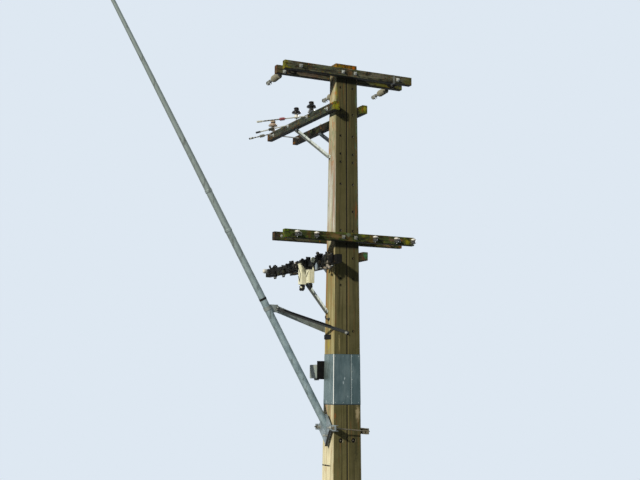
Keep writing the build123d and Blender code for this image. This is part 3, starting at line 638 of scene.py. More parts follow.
cover(clamp_steel, "clamp_channel_left", "light_arm_foot")
cover(rusty_steel, "clamp_channel_right", "clamp_rods")
cover(dull_steel, "low_spool_irons", "low_arm_bolts")
cover(pale_steel, "light_tie_collar", "light_tie_back")
# Painted shadow: the front tie is near black, as its face stands in shade.
cover(shaded_steel, "light_tie_front")
# The left braces carry painted shade on the lower half of their flange.
for node in ("side_brace_left", "service_brace_left"):
    low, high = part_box(node)
    shade_slant = (low[1], low[2], (high[2] - low[2]) / (high[1] - low[1]))
    cover(finish("steel_" + node, steel(*BRACE_PAIR, 0.1, 0.2, None, shade_slant)), node)
print("finishes so far:", len(finishes))

# %% [markdown]
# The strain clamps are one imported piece, but not one look. Those at the top are dull all over, while
# the three side strings end in pale rods with dark joints, which a sine along the rod can draw.

# %% Steel of the strain clamps
BEAD_PITCH = 0.060


def strain_steel(place):
    """Clamps at the top are dull. The three side tails are pale rods with dark joints."""
    x, y, z = parts(place)
    looks = steel(*DULL_PAIR, 0.45, 0.3)(place)
    pale = (206, 206, 190)
    dark = (34, 36, 28)
    beads = smooth(place.math("SINE", x * (math.tau / BEAD_PITCH)), -0.3, 0.3)
    first = mix(inside(x, -1.13, -0.84, 0.02), pale, mix(beads, dark, (150, 146, 128)))
    second = mix(smooth(x, -0.86, -0.84), dark, pale)
    third = mix(beads, dark, pale)
    tails = mix(smooth(y, *SECOND_STRING), first, mix(smooth(y, *THIRD_STRING), second, third))
    low_down = 1 - smooth(z, 9.9, 10.0)
    looks["Base Color"] = mix(low_down * smooth(y, 0.6, 0.7), looks["Base Color"], tails)
    return looks


cover(finish("strain_steel", strain_steel), "strain_clamps")
print("finishes so far:", len(finishes))

# %% [markdown]
# Glazed porcelain is the shiniest thing up there: a smooth glaze over white or chocolate brown, dull
# only where soot lies on it. The spools on the low arms are clean on top, where rain washes them, and
# black below with painted shade and soot. Height alone tells the two halves apart, because all the
# spools hang level.

# %% Porcelain
def porcelain(glaze, soot):
    def recipe(place):
        dust = noise(place, 42, 4.0)
        colour = layered(
            glaze,
            (smooth(dust, 0.42, 0.7) * 0.4, soot),
            (smooth(0 - facing(place)[2], 0.1, 0.8) * 0.72, soot),
        )
        return {"Base Color": colour, "Roughness": 0.14 + smooth(dust, 0.4, 0.7) * 0.3}

    return recipe


white_glaze = porcelain((232, 230, 220), (92, 88, 74))
spools_low, spools_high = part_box("low_spools_front")
SPOOL_MIDDLE = (spools_low[2] + spools_high[2]) / 2


def spool_glaze(place):
    """White above, and black with painted shade and soot from the middle of a spool down."""
    looks = white_glaze(place)
    height = parts(place)[2] + noise(place, 60, 2.0) * 0.012
    shade_and_soot = 1 - smooth(height, SPOOL_MIDDLE + 0.004, SPOOL_MIDDLE + 0.014)
    # Painted shade with soot: the lower half of each spool goes black.
    looks["Base Color"] = mix(shade_and_soot * 0.94, looks["Base Color"], (18, 19, 17))
    return looks


def cream_glaze(place):
    layers = place.math("SINE", parts(place)[2] * 210)
    tone = mix(smooth(layers, -0.4, 0.2), (84, 64, 52), (206, 198, 168))
    patches = smooth(noise(place, 30, 3.0), 0.5, 0.6)
    return {"Base Color": mix(patches * 0.6, tone, (150, 84, 66)), "Roughness": 0.4 + patches * 0.2}


white_porcelain = finish("white_porcelain", white_glaze, Coat_Weight=0.6)
black_porcelain = finish("black_porcelain", porcelain((12, 10, 9), (46, 34, 30)), Specular_IOR_Level=0.3)
cream_porcelain = finish("cream_porcelain", cream_glaze, Coat_Weight=0.3)
spool_porcelain = finish("spool_porcelain", spool_glaze, Coat_Weight=0.5)
cover(black_porcelain, "pin_insulators")
cover(spool_porcelain, "low_spools_front", "low_spools_back")
print("finishes so far:", len(finishes))

# %% [markdown]
# Ribbed composite rods are rubbery and chalk in the sun. The ones at the top are a warm beige, the
# small ones at the side a dark red brown. What looks up is paler, what looks down is darker, and dark
# blots lie all over.

# %% Composite rubber
def rubber(tone, upper_tone, dirt):
    def recipe(place):
        look_z = facing(place)[2]
        blot = noise(place, 30, 4.0)
        colour = layered(
            tone,
            (smooth(look_z, 0.0, 0.9) * 0.5, upper_tone),
            (smooth(0 - look_z, 0.1, 0.8) * 0.7, dirt),
            (smooth(blot, 0.5, 0.7) * 0.4, dirt),
        )
        return {"Base Color": colour, "Roughness": 0.6 + blot * 0.25, "Relief": (blot, 0.0006)}

    return recipe


def side_string_rubber(place):
    """Three rods in one mesh: red brown, olive black and grey, told apart by how far back they are."""
    y = parts(place)[1]
    looks = rubber((148, 78, 84), (196, 150, 152), (58, 28, 28))(place)
    further = mix(smooth(y, *THIRD_STRING), (52, 54, 44), (120, 122, 112))
    looks["Base Color"] = mix(smooth(y, *SECOND_STRING), looks["Base Color"], further)
    return looks


beige_rubber = rubber((142, 140, 122), (176, 172, 154), (28, 26, 20))
beige_composite = finish("beige_composite", beige_rubber, Specular_IOR_Level=0.25)
cover(beige_composite, "top_strain_strings")
cover(finish("red_composite", side_string_rubber), "side_strain_strings")
print("finishes so far:", len(finishes))

# %% [markdown]
# Moulded plastic that has stood outdoors loses its gloss: a faint pebbled skin, chalky high spots and
# green or brown dirt that gathers low down. The black gear, the cream boxes, the grey junction box and
# the lamp's shell share that recipe with their own tones.

# %% Plastics and paint
DULL = 0.12


def moulded(name, tone, worn, dirt, gloss, amount=0.5, **constants):
    """The finish of a moulded or painted piece, from its own tone, its chalk and its dirt."""

    def recipe(place):
        blot = noise(place, 11, 4.0)
        runs = noise(stretched(place, 48, 48, 5), 1.0, 4.0)
        colour = layered(
            tone,
            (smooth(blot, 0.4, 0.7), worn),
            (smooth(runs, 0.52, 0.72) * amount, dirt),
            (smooth(0 - facing(place)[2], 0.2, 0.8) * 0.5, dirt),
        )
        return {
            "Base Color": colour,
            "Roughness": gloss + blot * 0.25,
            "Relief": (noise(place, 260, 2.0) * 0.3 + blot * 0.4, 0.0006),
        }

    return finish(name, recipe, **constants)


black_plastic = moulded(
    "black_plastic", (15, 16, 17), (34, 35, 33), (64, 58, 42), 0.5, 0.4, Specular_IOR_Level=DULL
)
cream_plastic = moulded("cream_plastic", (236, 236, 208), (222, 220, 186), (124, 120, 84), 0.5, 0.4)
grey_plastic = moulded("grey_plastic", (142, 154, 148), (148, 154, 146), (88, 82, 66), 0.55)
lamp_paint = moulded("lamp_paint", (206, 208, 204), (188, 192, 190), (116, 112, 96), 0.35, 0.35)
black_paint = moulded(
    "black_paint", (10, 10, 11), (22, 22, 21), (48, 36, 24), 0.6, 0.25, Specular_IOR_Level=DULL
)
cover(cream_plastic, "fuse_boxes")
cover(grey_plastic, "junction_box")
cover(lamp_paint, "luminaire_body")
cover(black_plastic, "fuse_holders", "luminaire_sensor")
cover(black_paint, "junction_bracket", "pole_straps")
print("finishes so far:", len(finishes))

# %% [markdown]
# The lamp's lens is clear moulded glass or acrylic with fine ribs and a film of dust. A clear shader
# with a little dust on it shows the ribs only by their bump.

# %% Lens
RIB_PHASE = 420


def ribbed_glass(place):
    ribs = place.math("SINE", parts(place)[1] * RIB_PHASE)
    dust = noise(place, 18, 4.0)
    return {
        "Base Color": mix(smooth(dust, 0.4, 0.75) * 0.5, (236, 240, 240), (186, 182, 166)),
        "Roughness": 0.08 + smooth(dust, 0.4, 0.8) * 0.35,
        "Relief": (ribs * 0.5 + 0.5, 0.0012),
    }


cover(finish("lens_glass", ribbed_glass, Transmission_Weight=0.75, IOR=1.49), "luminaire_lens")
print("finishes so far:", len(finishes))

# %% [markdown]
# The guard is thin sheet metal wrapped round both poles so that nothing climbs them. It mirrors the
# street softly, with vertical brush marks and dull stains. Light and shade are painted on it as well:
# its front is painted darker than its sides, a painted highlight runs down its folded corners on the
# left, pale painted highlights sit where dents catch the light beside one pale stain, a painted
# highlight lines the seam and painted shade lines both rims. It stays metallic, in a dark blue grey,
# so that its tone comes from what it reflects.

# %% Sheet metal
GUARD_SEAM = 0.074
guard_low, guard_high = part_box("sheet_guard")
GUARD_HEIGHT = guard_high[2] - guard_low[2]
# Pale marks: painted highlights where dents catch the light, and one pale stain low on the left face.
GUARD_HIGHLIGHTS_AND_STAIN = (
    ((-0.046, -0.180, guard_high[2] - 0.48 * GUARD_HEIGHT), 0.012, 0.026),
    ((0.014, -0.180, guard_high[2] - 0.84 * GUARD_HEIGHT), 0.010, 0.024),
    ((-0.070, -0.180, guard_high[2] - 0.56 * GUARD_HEIGHT), 0.012, 0.030),
    ((-0.246, 0.070, guard_low[2] + 0.06 * GUARD_HEIGHT), 0.030, 0.034),
    ((-0.242, -0.020, guard_high[2] - 0.30 * GUARD_HEIGHT), 0.010, 0.110),
)
HIGHLIGHT_AND_STAIN_STRENGTH = 0.45
HIGHLIGHT_AND_STAIN_TONE = (206, 214, 210)


def sheet_metal(place):
    x, y, z = parts(place)
    look_x, look_y = facing(place)[:2]
    brush = noise(stretched(place, 260, 260, 3), 1.0, 3.0)
    streaks = noise(stretched(place, 48, 48, 3), 1.0, 3.0)
    stain = noise(stretched(place, 7, 7, 3), 1.2, 5.0)
    splash = smooth(noise(place, 21, 5.0, 0.75), 0.64, 0.72)
    front_shaded = smooth(0 - look_y, 0.6, 0.9)
    corner = smooth(abs(look_x), 0.25, 0.45) * smooth(abs(look_y), 0.25, 0.45)
    on_left = smooth(0 - look_x, 0.0, 0.2)
    stained = smooth(stain, 0.35, 0.7)
    # Painted highlight along the edge of the lap at the seam.
    seam_highlight = inside(x, GUARD_SEAM - 0.002, GUARD_SEAM + 0.005, 0.002) * front_shaded
    seam_dark = inside(x, GUARD_SEAM - 0.016, GUARD_SEAM - 0.005, 0.003) * front_shaded
    rim_shade = 1 - inside(z, guard_low[2] + 0.014, guard_high[2] - 0.004, 0.004)
    colour = layered(
        mix(stained, (108, 126, 124), (134, 150, 148)),
        # Painted shade: the front is a darker copy of the sides' tones.
        (front_shaded, mix(stained, (74, 92, 92), (98, 114, 114))),
        (smooth(brush, 0.5, 0.8) * 0.3, (64, 78, 78)),
        (smooth(streaks, 0.5, 0.66) * 0.3, (58, 72, 70)),
        (splash * 0.4, (146, 158, 154)),
    )
    colour = marked(place, colour, [(*pale_spot, HIGHLIGHT_AND_STAIN_STRENGTH, HIGHLIGHT_AND_STAIN_TONE) for pale_spot in GUARD_HIGHLIGHTS_AND_STAIN])
    colour = layered(
        colour,
        # Painted highlight down the folded corners on the left.
        (corner * on_left * 0.95, (244, 248, 246)),
        (seam_highlight * 0.8, (190, 200, 196)),
        (seam_dark * 0.7, (24, 30, 30)),
        # Painted shade along both rims.
        (rim_shade * 0.75, (22, 26, 26)),
    )
    return {
        "Base Color": colour,
        "Metallic": 0.62 - splash * 0.3 - corner * on_left * 0.55,
        "Roughness": 0.34 + smooth(stain, 0.4, 0.75) * 0.22,
        "Relief": (brush * 0.3 + stain * 1.6, 0.004),
    }


sheet_finish = finish("guard_sheet", sheet_metal)
cover(sheet_finish, "sheet_guard")
print("finishes so far:", len(finishes))

# %% [markdown]
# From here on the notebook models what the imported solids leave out. Every small thing is made from
# a few shapes. Each of them starts from a bmesh operator at the origin, is spun, bevelled or extruded
# there, and is then set down at its place, because a shape is far easier to think about when it
# stands upright at zero. A place is a matrix: `at` gives an upright one, and `aimed` a turned one.

# %% Words for places
WELD = 1e-5
LEFT = (-1, 0, 0)
FRONT = (0, -1, 0)
BACK = (0, 1, 0)
UP = (0, 0, 1)
DOWN = (0, 0, -1)


def at(x, y, z):
    """An upright place."""
    return Matrix.Translation((x, y, z))


def aimed(place, direction):
    """A place whose own z axis points in a direction, with its y axis as far up as it can be."""
    turned = Vector(direction).to_track_quat("Z", "Y").to_matrix().to_4x4()
    return Matrix.Translation(Vector(place)) @ turned


def set_down(form, known, where):
    """Moves what a form has gained since it held only the known points."""
    fresh = [point for point in form.verts if point not in known]
    bmesh.ops.transform(form, matrix=where, verts=fresh)


def ease(form, edges, width, segments=2):
    """Rounds edges over."""
    bmesh.ops.bevel(
        form, geom=edges, offset=width, segments=segments, profile=0.5, affect="EDGES", material=-1
    )

# %% [markdown]
# Four plain shapes make most of the fittings: a block with eased edges, a rod, a turned outline and a
# ring. Real edges are never knife sharp, and the bevel is what catches the light on a small thing. A
# full spin is closed by merging its last row of points with the first.

# %% Plain shapes
def block(form, size, where, edge):
    known = set(form.verts)
    fresh = bmesh.ops.create_cube(form, size=1.0)["verts"]
    bmesh.ops.scale(form, vec=size, verts=fresh)
    ease(form, list({line for point in fresh for line in point.link_edges}), edge)
    set_down(form, known, where)


def rod(form, start, end, radius, sides=16):
    known = set(form.verts)
    run = Vector(end) - Vector(start)
    bmesh.ops.create_cone(
        form, cap_ends=True, segments=sides, radius1=radius, radius2=radius, depth=run.length
    )
    set_down(form, known, aimed(Vector(start) + run / 2, run))


def lathe(form, outline, where, steps=24, closed=False):
    """Turns an outline of (radius, height) pairs once round its own z axis."""
    known = set(form.verts)
    points = [form.verts.new((radius, 0, height)) for radius, height in outline]
    lines = [form.edges.new(pair) for pair in zip(points, points[1:])]
    if closed:
        lines.append(form.edges.new((points[-1], points[0])))
    bmesh.ops.spin(
        form, geom=points + lines, cent=(0, 0, 0), axis=(0, 0, 1), angle=math.tau, steps=steps, use_merge=True
    )
    set_down(form, known, where)


def ring(form, radius, thickness, where, steps=24, sides=8):
    """A round wire bent into a full ring about its own z axis."""
    angles = [math.tau * i / sides for i in range(sides)]
    outline = [(radius + thickness * math.cos(a), thickness * math.sin(a)) for a in angles]
    lathe(form, outline, where, steps, closed=True)

# %% [markdown]
# Ironwork repeats itself: a nut with its upper rim chamfered, a low domed head, and the whole set of
# washer, nut and bolt end. A hook or a U-bolt is a bar that is extruded for each straight run and spun
# for each bend, so its list of moves reads like the instructions to a smith.

# %% Nuts, heads and bent bars
WASHER = 0.005
BAR_SIDES = 8


def hex_nut(form, radius, height, where):
    known = set(form.verts)
    fresh = bmesh.ops.create_cone(
        form, cap_ends=True, segments=6, radius1=radius, radius2=radius, depth=height,
        matrix=at(0, 0, height / 2),
    )["verts"]
    edges = {line for point in fresh for line in point.link_edges}
    upper = [line for line in edges if min(point.co.z for point in line.verts) > height / 2]
    ease(form, upper, radius * 0.14, 1)
    set_down(form, known, where)


def dome(form, radius, height, where):
    """A round head with a low crown."""
    crown = ((0, 0), (radius, 0), (radius * 0.92, height * 0.5), (radius * 0.5, height * 0.92), (0, height))
    lathe(form, crown, where, 12)


def nut_on_plate(form, where, nut, plate, tail):
    """A round washer, a hex nut and the rounded end of its bolt, on the plane z = 0 of a place."""
    height = nut * 0.85
    bolt = nut * 0.55
    end = WASHER + height + tail
    washer = ((0, 0), (plate, 0), (plate, WASHER * 0.7), (plate * 0.93, WASHER), (0, WASHER))
    stem = ((0, WASHER), (bolt, WASHER), (bolt, end - 0.004), (bolt * 0.6, end), (0, end))
    lathe(form, washer, where, 20)
    hex_nut(form, nut, height, where @ at(0, 0, WASHER))
    lathe(form, stem, where, 12)


def bent_bar(form, start, heading, radius, moves):
    """A round bar. A move is a length to run on, or a turn in degrees, a bend radius and an axis."""
    centre = Vector(start)
    direction = Vector(heading).normalized()
    fresh = bmesh.ops.create_circle(
        form, cap_ends=True, segments=BAR_SIDES, radius=radius, matrix=aimed(start, heading)
    )["verts"]
    end = fresh[0].link_faces[0]
    for move in moves:
        if isinstance(move, tuple):
            degrees, bend, axis = move
            axis = Vector(axis).normalized()
            pivot = centre + axis.cross(direction) * bend
            turn = math.radians(degrees)
            steps = max(2, round(degrees / 20))
            spun = bmesh.ops.spin(form, geom=[end], cent=pivot, axis=axis, angle=turn, steps=steps)
            made = spun["geom_last"]
            turning = Matrix.Rotation(turn, 3, axis)
            centre = pivot + turning @ (centre - pivot)
            direction = turning @ direction
        else:
            made = bmesh.ops.extrude_face_region(form, geom=[end])["geom"]
            moved = [item for item in made if isinstance(item, bmesh.types.BMVert)]
            bmesh.ops.translate(form, vec=direction * move, verts=moved)
            centre = centre + direction * move
        end = next(item for item in made if isinstance(item, bmesh.types.BMFace))

# %% [markdown]
# `dress` ends every piece in the same way. It merges doubled points, turns all faces outward, gives the
# mesh its finish and hands it to the frame: the piece rides on the pole and fills one material slot.


def dress(name, form, material):
    """Makes a finished form a piece of the pole."""
    bmesh.ops.remove_doubles(form, verts=form.verts, dist=WELD)
    bmesh.ops.recalc_face_normals(form, faces=form.faces)
    mesh = bpy.data.meshes.new(name)
    form.to_mesh(mesh)
    form.free()
    mesh.materials.append(material)
    piece = bpy.data.objects.new(name, mesh)
    bpy.context.scene.collection.objects.link(piece)
    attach(piece, "root")
    print(name + ":", len(mesh.polygons), "faces")
    return piece

# %% [markdown]
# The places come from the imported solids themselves. `shells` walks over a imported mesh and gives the
# box of each separate solid in it, so nine fuse holders or nine spools need no list of places here.

# %% Places from the frame
def shells(node):
    form = bmesh.new()
    form.from_mesh(nodes[node].data)
    bmesh.ops.remove_doubles(form, verts=form.verts, dist=WELD)
    left = set(form.verts)
    boxes = []
    while left:
        reached = [left.pop()]
        corners = []
        while reached:
            point = reached.pop()
            corners.append(point.co.copy())
            for line in point.link_edges:
                other = line.other_vert(point)
                if other in left:
                    left.remove(other)
                    reached.append(other)
        low = Vector([min(corner[i] for corner in corners) for i in range(3)])
        high = Vector([max(corner[i] for corner in corners) for i in range(3)])
        boxes.append((low, high))
    form.free()
    return sorted(boxes, key=lambda box: tuple(round(value, 4) for value in box[0]))


print("holders:", len(shells("fuse_holders")), "spools:", len(shells("low_spools_front")))

# %% [markdown]
# The guard is one sheet that meets itself on the front face: the lap runs from its seam to the right
# corner, and domed nails hold the sheet along the seam and both rims. The sheet lies on the taper, so
# the lap leans back by the taper's angle and every nail's height says how far out it stands.

# %% Guard seam and nails
GUARD_SKIN = 0.0015
LAP_THICKNESS = 0.0016
LAP_INSET = 0.012
NAIL_INSET = 0.035
SEAM_NAILS = 7
FRONT_COLUMNS = (-0.215, -0.07, 0.215)
BACK_COLUMNS = (-0.215, -0.07, 0.07, 0.215)
SIDE_COLUMNS = (-0.13, 0.0, 0.13)
NAIL_RADIUS = 0.006
NAIL_CROWN = 0.004
guard_middle = (guard_low[2] + guard_high[2]) / 2
depth_lean = math.atan((front(guard_low[2]) - front(guard_high[2])) / GUARD_HEIGHT)

lap = bmesh.new()
lap_right = outer(guard_high[2]) - LAP_INSET
lap_place = at((GUARD_SEAM + lap_right) / 2, -front(guard_middle) - GUARD_SKIN, guard_middle)
lap_size = (lap_right - GUARD_SEAM, 2 * LAP_THICKNESS, GUARD_HEIGHT - 0.004)
block(lap, lap_size, lap_place @ Matrix.Rotation(-depth_lean, 4, "X"), 0.0006)
dress("guard_lap", lap, sheet_finish)

nails = bmesh.new()


def nail(x, y, z, direction):
    dome(nails, NAIL_RADIUS, NAIL_CROWN, aimed((x, y, z), direction))


lowest_row = guard_low[2] + NAIL_INSET
highest_row = guard_high[2] - NAIL_INSET
for z in (lowest_row, highest_row):
    for x in FRONT_COLUMNS:
        nail(x, -front(z) - GUARD_SKIN, z, FRONT)
    for x in BACK_COLUMNS:
        nail(x, front(z) + GUARD_SKIN, z, BACK)
    for side in (-1, 1):
        for y in SIDE_COLUMNS:
            nail(side * (outer(z) + GUARD_SKIN), y, z, (side, 0, 0))
for i in range(SEAM_NAILS):
    z = lowest_row + i * (highest_row - lowest_row) / (SEAM_NAILS - 1)
    nail(GUARD_SEAM + 0.018, -front(z) - GUARD_SKIN - LAP_THICKNESS, z, FRONT)
dress("guard_nails", nails, sheet_finish)

# %% [markdown]
# The junction box gets what its closed solid lacks: a lid with a raised field and four screws on its
# left face, hinge barrels above it, and a hex collar on each gland. Two bolts hold its black plate to
# the guard.

# %% Junction box fittings
LID_THICKNESS = 0.006
LID_MARGIN_WIDE = 0.016
LID_MARGIN_TALL = 0.012
LID_SCREW = (0.007, 0.004)
FIELD_INSET = 0.07
FIELD_RISE = 0.004
HINGE_SHARE = 0.3
HINGE_REACH = 0.02
HINGE_RADIUS = 0.006
SCREW_INSET = 0.016
GLAND_TOP = 5.205
GLAND_PITCH = 0.06
GLAND_X = 0.06
GLAND_NUT = 0.019
GLAND_NUT_HEIGHT = 0.012
BRACKET_X = -0.185
BRACKET_BOLTS = (5.26, 5.42)
BRACKET_NUT = (0.013, 0.02, 0.01)
junction_low, junction_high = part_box("junction_box")
lid_wide = junction_high[1] - junction_low[1] - LID_MARGIN_WIDE
lid_tall = junction_high[2] - GLAND_TOP - LID_MARGIN_TALL
lid_x = junction_low[0] - LID_THICKNESS / 2
lid_y = (junction_low[1] + junction_high[1]) / 2
lid_z = (GLAND_TOP + junction_high[2]) / 2

lid = bmesh.new()
field = (lid_wide - FIELD_INSET, lid_tall - FIELD_INSET, FIELD_RISE)
block(lid, (lid_wide, lid_tall, LID_THICKNESS), aimed((lid_x, lid_y, lid_z), LEFT), 0.002)
block(lid, field, aimed((lid_x - FIELD_RISE, lid_y, lid_z), LEFT), 0.0015)
for side in (-1, 1):
    y = lid_y + side * lid_wide * HINGE_SHARE
    z = lid_z + lid_tall / 2
    rod(lid, (lid_x, y - HINGE_REACH, z), (lid_x, y + HINGE_REACH, z), HINGE_RADIUS)
dress("junction_lid", lid, grey_plastic)

fixings = bmesh.new()
for side in (-1, 1):
    for rise in (-1, 1):
        y = lid_y + side * (lid_wide / 2 - SCREW_INSET)
        z = lid_z + rise * (lid_tall / 2 - SCREW_INSET)
        dome(fixings, *LID_SCREW, aimed((junction_low[0] - LID_THICKNESS, y, z), LEFT))
for offset in (-GLAND_PITCH, 0.0, GLAND_PITCH):
    gland_place = (junction_low[0] + GLAND_X, lid_y + offset, GLAND_TOP - GLAND_NUT_HEIGHT)
    hex_nut(fixings, GLAND_NUT, GLAND_NUT_HEIGHT, aimed(gland_place, UP))
bracket_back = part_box("junction_bracket")[1][1]
for z in BRACKET_BOLTS:
    nut_on_plate(fixings, aimed((BRACKET_X, bracket_back, z), BACK), *BRACKET_NUT)
dress("junction_fixings", fixings, bolt_steel)

# %% [markdown]
# The raking tube is welded to its foot plate, so a bead runs round the oval where the two meet. The
# plate's slanting lower edge toward the street is turned out into a lip, which faces down; its near-black
# steel is painted shadow, the dark gap behind that edge. Bolts hold the plate to the channel. Swaged
# rings and a black band go round the tube further up.

# %% Streetlight arm fittings
TUBE_SLOPE = math.radians(60.3)
TUBE_ALONG = Vector((-math.cos(TUBE_SLOPE), 0, math.sin(TUBE_SLOPE)))
FOOT_HEIGHT = 4.487
ROOT_RADIUS = 0.062
LIP_WIDTH = 0.036
LIP_SKIN = 0.007
CHANNEL_HEIGHT = 4.415
CHANNEL_BOLTS = (-0.185, 0.185)
CHANNEL_NUT = (0.019, 0.03, 0.022)
LOWER_HEIGHT = 4.285
LOWER_BOLTS = (-0.08, 0.02)
LOWER_NUT = (0.015, 0.022, 0.012)
SWAGES = ((3.5, 0.0555, 0.05, 0.006), (4.2, 0.0535, 0.05, 0.006), (8.55, 0.0245, 0.07, 0.005))
TAPE = (2.268, 0.0583, 0.035, 0.003)
plate_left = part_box("light_arm_foot")[0][0]
tube_foot = Vector((plate_left, 0, FOOT_HEIGHT))

bead = bmesh.new()
oval = Matrix.Diagonal((1, 1 / math.cos(TUBE_SLOPE), 1, 1))
ring(bead, ROOT_RADIUS + 0.002, 0.006, aimed(tube_foot, LEFT) @ oval, 48)
dress("foot_weld", bead, clamp_steel)

# Painted shadow: the lip is near-black steel beside the plate's edge.
lips = bmesh.new()
wing = Vector((plate_left - LIP_WIDTH / 2, -0.225, CHANNEL_HEIGHT - 0.035))
tip = Vector((plate_left - LIP_WIDTH / 2, -0.075, CHANNEL_HEIGHT - 0.295))
block(lips, (LIP_WIDTH, LIP_SKIN, (tip - wing).length), aimed((wing + tip) / 2, tip - wing), 0.001)
dress("foot_lips", lips, shaded_steel)

foot_bolts = bmesh.new()
for y in CHANNEL_BOLTS:
    nut_on_plate(foot_bolts, aimed((plate_left, y, CHANNEL_HEIGHT), LEFT), *CHANNEL_NUT)
for y in LOWER_BOLTS:
    nut_on_plate(foot_bolts, aimed((plate_left, y, LOWER_HEIGHT), LEFT), *LOWER_NUT)
dress("foot_bolts", foot_bolts, bolt_steel)


def sleeve(form, distance, radius, width, thickness):
    """A flat ring with eased rims, round the tube at a distance from its foot."""
    half = width / 2
    outline = (
        (radius, -half), (radius + thickness * 0.6, -half), (radius + thickness, -half * 0.7),
        (radius + thickness, half * 0.7), (radius + thickness * 0.6, half), (radius, half),
    )
    lathe(form, outline, aimed(tube_foot + TUBE_ALONG * distance, TUBE_ALONG), 32, closed=True)


swages = bmesh.new()
for swage in SWAGES:
    sleeve(swages, *swage)
dress("tube_swages", swages, tube_steel)
band = bmesh.new()
sleeve(band, *TAPE)
dress("tube_band", band, black_plastic)

# %% [markdown]
# The collar's lug is drawn together with the two ties by two bolts, and one bolt holds each tie where
# it lies on the pole. The clamp's rods already carry their nuts.

# %% Tie bolts
LUG_MIDDLE_X = -1.1865
LUG_MIDDLE_Z = 6.312
LUG_HALF = 0.0145
TIE_BOLT_X = -0.02
TIE_BOLT_Z = 5.947
TIE_NUT = (0.017, 0.024, 0.02)
LUG_BOLTS = (-1.195, -1.178)
LUG_NUT = (0.010, 0.014, 0.012)
front_tie_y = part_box("light_tie_front")[0][1] + 0.042
back_tie_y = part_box("light_tie_back")[1][1]
tie_bolts = bmesh.new()
for x in LUG_BOLTS:
    z = LUG_MIDDLE_Z + (x - LUG_MIDDLE_X) * 2
    nut_on_plate(tie_bolts, aimed((x, -LUG_HALF, z), FRONT), *LUG_NUT)
    nut_on_plate(tie_bolts, aimed((x, LUG_HALF, z), BACK), *LUG_NUT)
nut_on_plate(tie_bolts, aimed((TIE_BOLT_X, front_tie_y, TIE_BOLT_Z), FRONT), *TIE_NUT)
nut_on_plate(tie_bolts, aimed((TIE_BOLT_X, back_tie_y, TIE_BOLT_Z), BACK), *TIE_NUT)
dress("tie_bolts", tie_bolts, bolt_steel)

# %% [markdown]
# The two recesses low on the front face hold the nuts of bolts that tie the poles together. An old
# hook stands on the left face further up, and small clips, one of them pale, hold the steel strip that
# crosses that face low down.

# %% Pole fixings
RECESS_HEIGHT = 4.21
RECESS_DEPTH = 0.040
HOOK_HEIGHT = 6.175
CLIP_HEIGHT = 3.8075
PALE_CLIP_HEIGHT = 3.852
RECESS_NUT = (0.018, 0.030, 0.014)
BACK_NUT = (0.018, 0.030, 0.025)
pole_nuts = bmesh.new()
seat = front(RECESS_HEIGHT)
for x in (-BOLT_COLUMN, BOLT_COLUMN):
    sunk_place = aimed((x, RECESS_DEPTH - seat, RECESS_HEIGHT), FRONT)
    nut_on_plate(pole_nuts, sunk_place, *RECESS_NUT)
    nut_on_plate(pole_nuts, aimed((x, seat, RECESS_HEIGHT), BACK), *BACK_NUT)
dress("pole_nuts", pole_nuts, rusty_steel)

hook = bmesh.new()
hook_root = Vector((-outer(HOOK_HEIGHT), 0.01, HOOK_HEIGHT))
lathe(hook, ((0, 0), (0.026, 0), (0.026, 0.006), (0, 0.006)), aimed(hook_root, LEFT), 16)
bent_bar(hook, hook_root, LEFT, 0.011, (0.046, (90, 0.022, (0, 1, 0)), 0.030))
dress("pole_hook", hook, shaded_steel)

clips = bmesh.new()
for y in (-0.03, 0.06):
    clip_place = (-outer(3.807) - 0.0045, y, CLIP_HEIGHT)
    block(clips, (0.012, 0.028, 0.007), aimed(clip_place, LEFT), 0.002)
dress("strip_clips", clips, black_paint)
pale_clip = bmesh.new()
clip_place = (-outer(PALE_CLIP_HEIGHT) - 0.006, -0.075, PALE_CLIP_HEIGHT)
block(pale_clip, (0.018, 0.03, 0.014), aimed(clip_place, LEFT), 0.004)
dress("pale_clip", pale_clip, cream_plastic)

# %% [markdown]
# Braces end in a bolt at each end: one through the pole's side and one up through the arm, with its
# nut on a square plate on top of the arm.

# %% Brace bolts
SQUARE_PLATE = (0.056, 0.056, 0.006)
LUG_INSET = 0.045
FOOT_RISE = 0.055
BRACE_SKIN = 0.006
FLANGE_MIDDLE = 0.03
POLE_NUT = (0.016, 0.022, 0.02)
ARM_NUT = (0.014, 0.02, 0.016)
brace_bolts = bmesh.new()
for kind in ("side", "service"):
    for word, side in (("left", -1), ("right", 1)):
        low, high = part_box(kind + "_brace_" + word)
        arm_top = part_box(kind + "_arm_" + word)[1][2]
        inner = high[0] if side < 0 else low[0]
        foot_place = (inner + side * BRACE_SKIN, low[1] + LUG_INSET, low[2] + FOOT_RISE)
        nut_on_plate(brace_bolts, aimed(foot_place, (side, 0, 0)), *POLE_NUT)
        x = inner + side * FLANGE_MIDDLE
        y = high[1] - LUG_INSET
        nut_on_plate(brace_bolts, aimed((x, y, high[2] - BRACE_SKIN), DOWN), *ARM_NUT)
        block(brace_bolts, SQUARE_PLATE, at(x, y, arm_top + SQUARE_PLATE[2] / 2), 0.001)
        nut_on_plate(brace_bolts, aimed((x, y, arm_top + SQUARE_PLATE[2]), UP), *ARM_NUT)
dress("brace_bolts", brace_bolts, bolt_steel)

# %% [markdown]
# Between the two top arms, oval eyes hang from the spacer bolts, and an old steel band goes round
# the front arm. A flat bar lies on the left side arm below the first two pin insulators.

